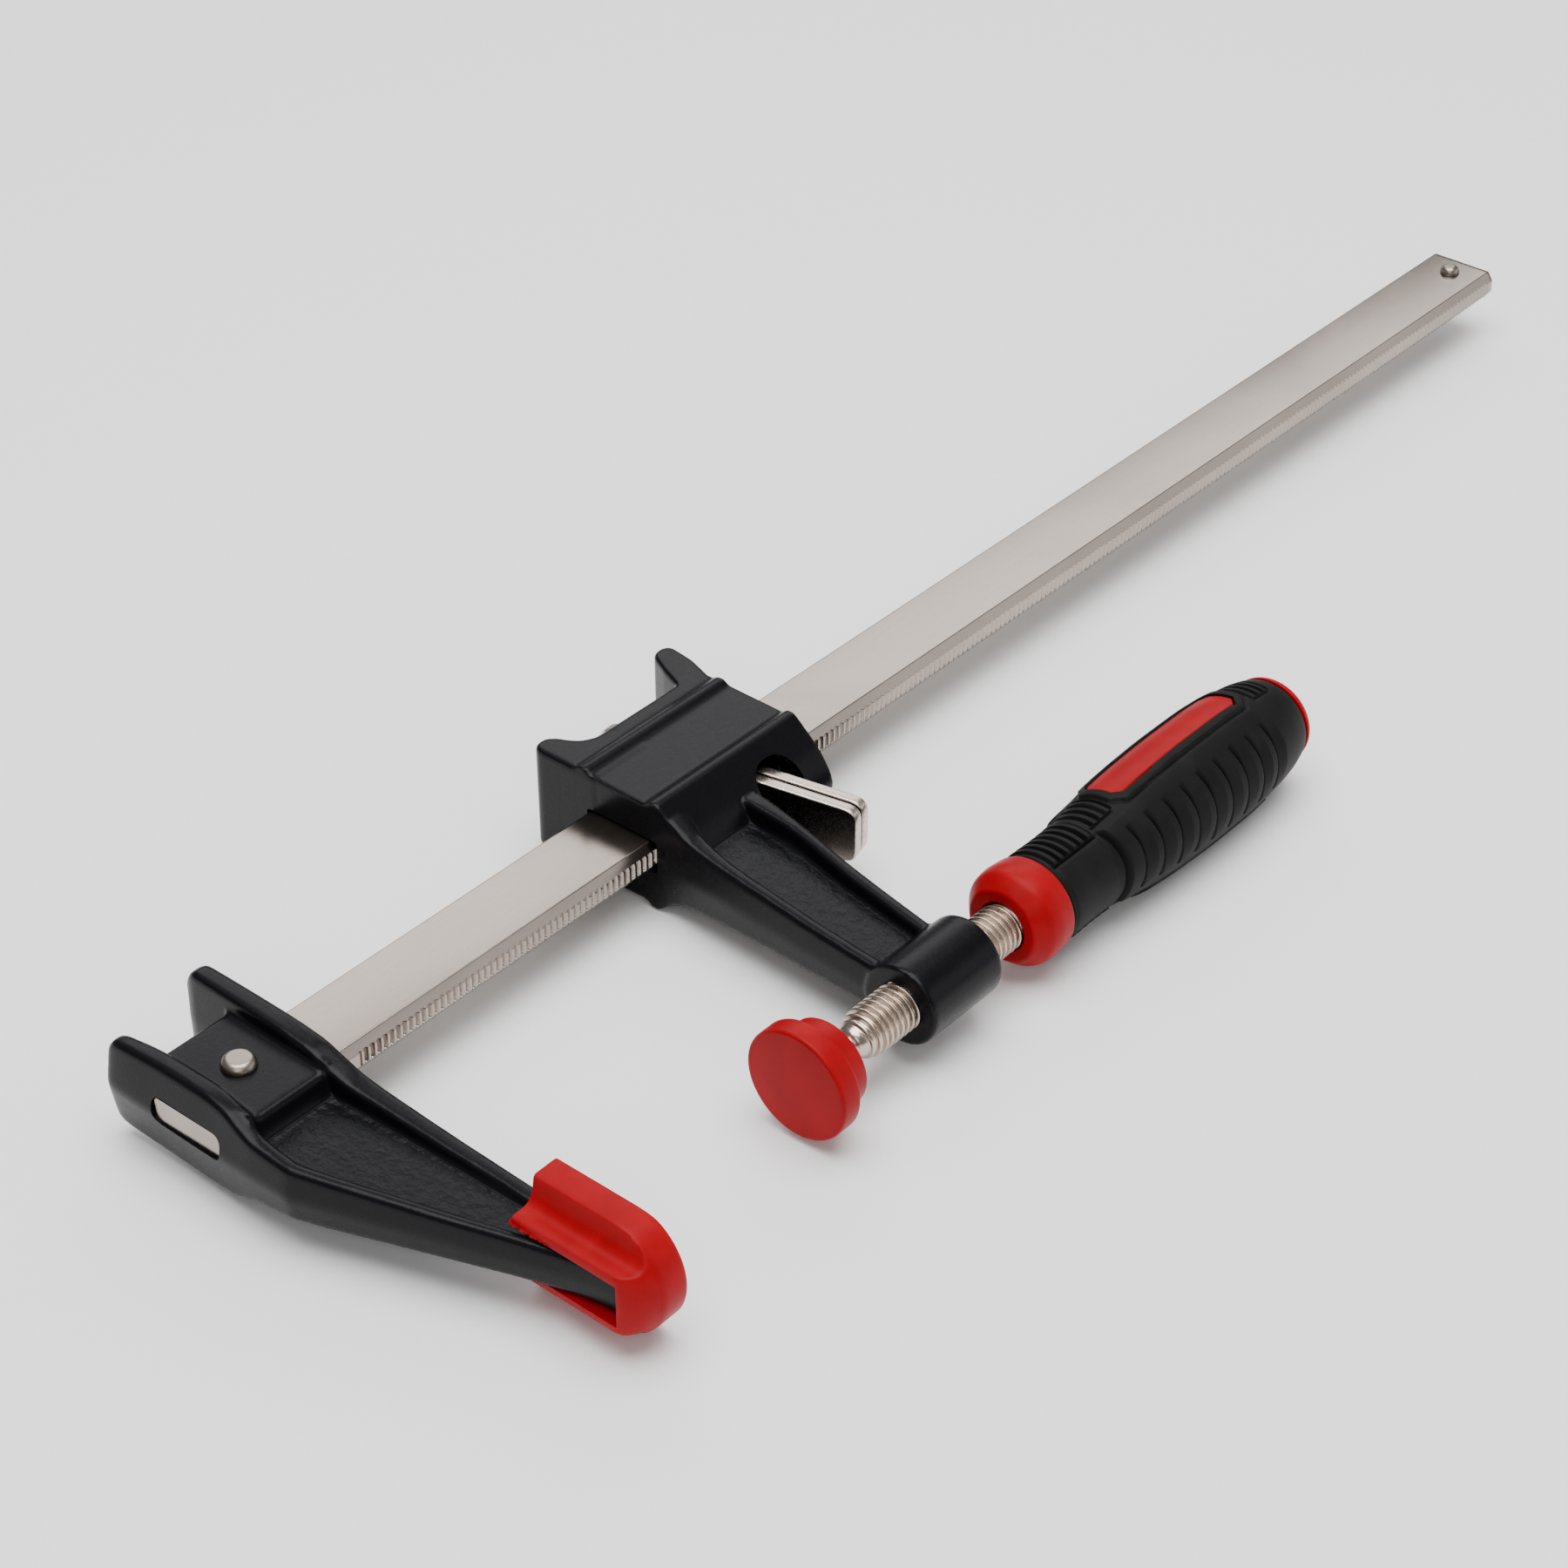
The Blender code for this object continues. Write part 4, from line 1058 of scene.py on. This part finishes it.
def panel_light(name, start, aim, width, height, watts):
    """Rectangular white light; its size is in millimetres."""
    light = bpy.data.lights.new(name, "AREA")
    light.shape = "RECTANGLE"
    light.size = width * MM
    light.size_y = height * MM
    light.energy = watts
    obj = bpy.data.objects.new(name, light)
    bpy.context.scene.collection.objects.link(obj)
    look_along(obj, start, aim)


class CLAMP_OT_stage(bpy.types.Operator):
    """Pale floor, soft studio light and the camera"""
    bl_idname = "clamp.stage"
    bl_label = "Stage"

    def execute(self, context):
        half = 4.0
        corners = [(-half, -half, 0.0), (half, -half, 0.0), (half, half, 0.0), (-half, half, 0.0)]
        mesh = bpy.data.meshes.new("floor")
        mesh.from_pydata(corners, [], [(0, 1, 2, 3)])
        floor = bpy.data.objects.new("floor", mesh)
        context.scene.collection.objects.link(floor)
        sheet = Sheet("pale_floor")
        mesh.materials.append(sheet.set(colour=(0.92, 0.92, 0.92), rough=0.9, specular=0.0))
        world = bpy.data.worlds.new("studio")
        world.use_nodes = True
        back = world.node_tree.nodes["Background"]
        back.inputs["Color"].default_value = (1.0, 0.985, 0.97, 1.0)
        back.inputs["Strength"].default_value = 0.25
        context.scene.world = world
        for values in LIGHTS:
            panel_light(*values)
        lens = bpy.data.cameras.new("camera")
        lens.sensor_width = 36.0
        lens.lens = 80.0
        lens.clip_start = 0.01
        camera = bpy.data.objects.new("camera", lens)
        context.scene.collection.objects.link(camera)
        look_along(camera, CAMERA_AT, CAMERA_AIM)
        context.scene.camera = camera
        return {"FINISHED"}


STEPS = ("bar", "rivets", "fixed_jaw", "soft_face", "sliding_jaw", "clutch_plates", "spindle",
         "swivel_pad", "handle_core", "handle_grip", "stage")


class CLAMP_PT_sidebar(bpy.types.Panel):
    """Settings and pieces of the clamp"""
    bl_idname = "CLAMP_PT_sidebar"
    bl_label = "Clamp"
    bl_space_type = "VIEW_3D"
    bl_region_type = "UI"
    bl_category = "Clamp"

    def draw(self, context):
        for group in (context.scene.clamp_metal, context.scene.clamp_grip):
            for key in group.__annotations__:
                self.layout.prop(group, key)
        for step in STEPS:
            self.layout.operator("clamp." + step)


CLASSES = (ClampMetalSettings, ClampGripSettings, CLAMP_OT_bar, CLAMP_OT_rivets,
           CLAMP_OT_fixed_jaw, CLAMP_OT_soft_face, CLAMP_OT_sliding_jaw, CLAMP_OT_clutch_plates,
           CLAMP_OT_spindle, CLAMP_OT_swivel_pad, CLAMP_OT_handle_core, CLAMP_OT_handle_grip,
           CLAMP_OT_stage, CLAMP_PT_sidebar)


def register():
    for cls in CLASSES:
        bpy.utils.register_class(cls)
    bpy.types.Scene.clamp_metal = PointerProperty(type=ClampMetalSettings)
    bpy.types.Scene.clamp_grip = PointerProperty(type=ClampGripSettings)


def unregister():
    del bpy.types.Scene.clamp_grip
    del bpy.types.Scene.clamp_metal
    for cls in reversed(CLASSES):
        bpy.utils.unregister_class(cls)


def main():
    register()
    for step in STEPS:
        getattr(bpy.ops.clamp, step)()


if __name__ == "__main__":
    main()
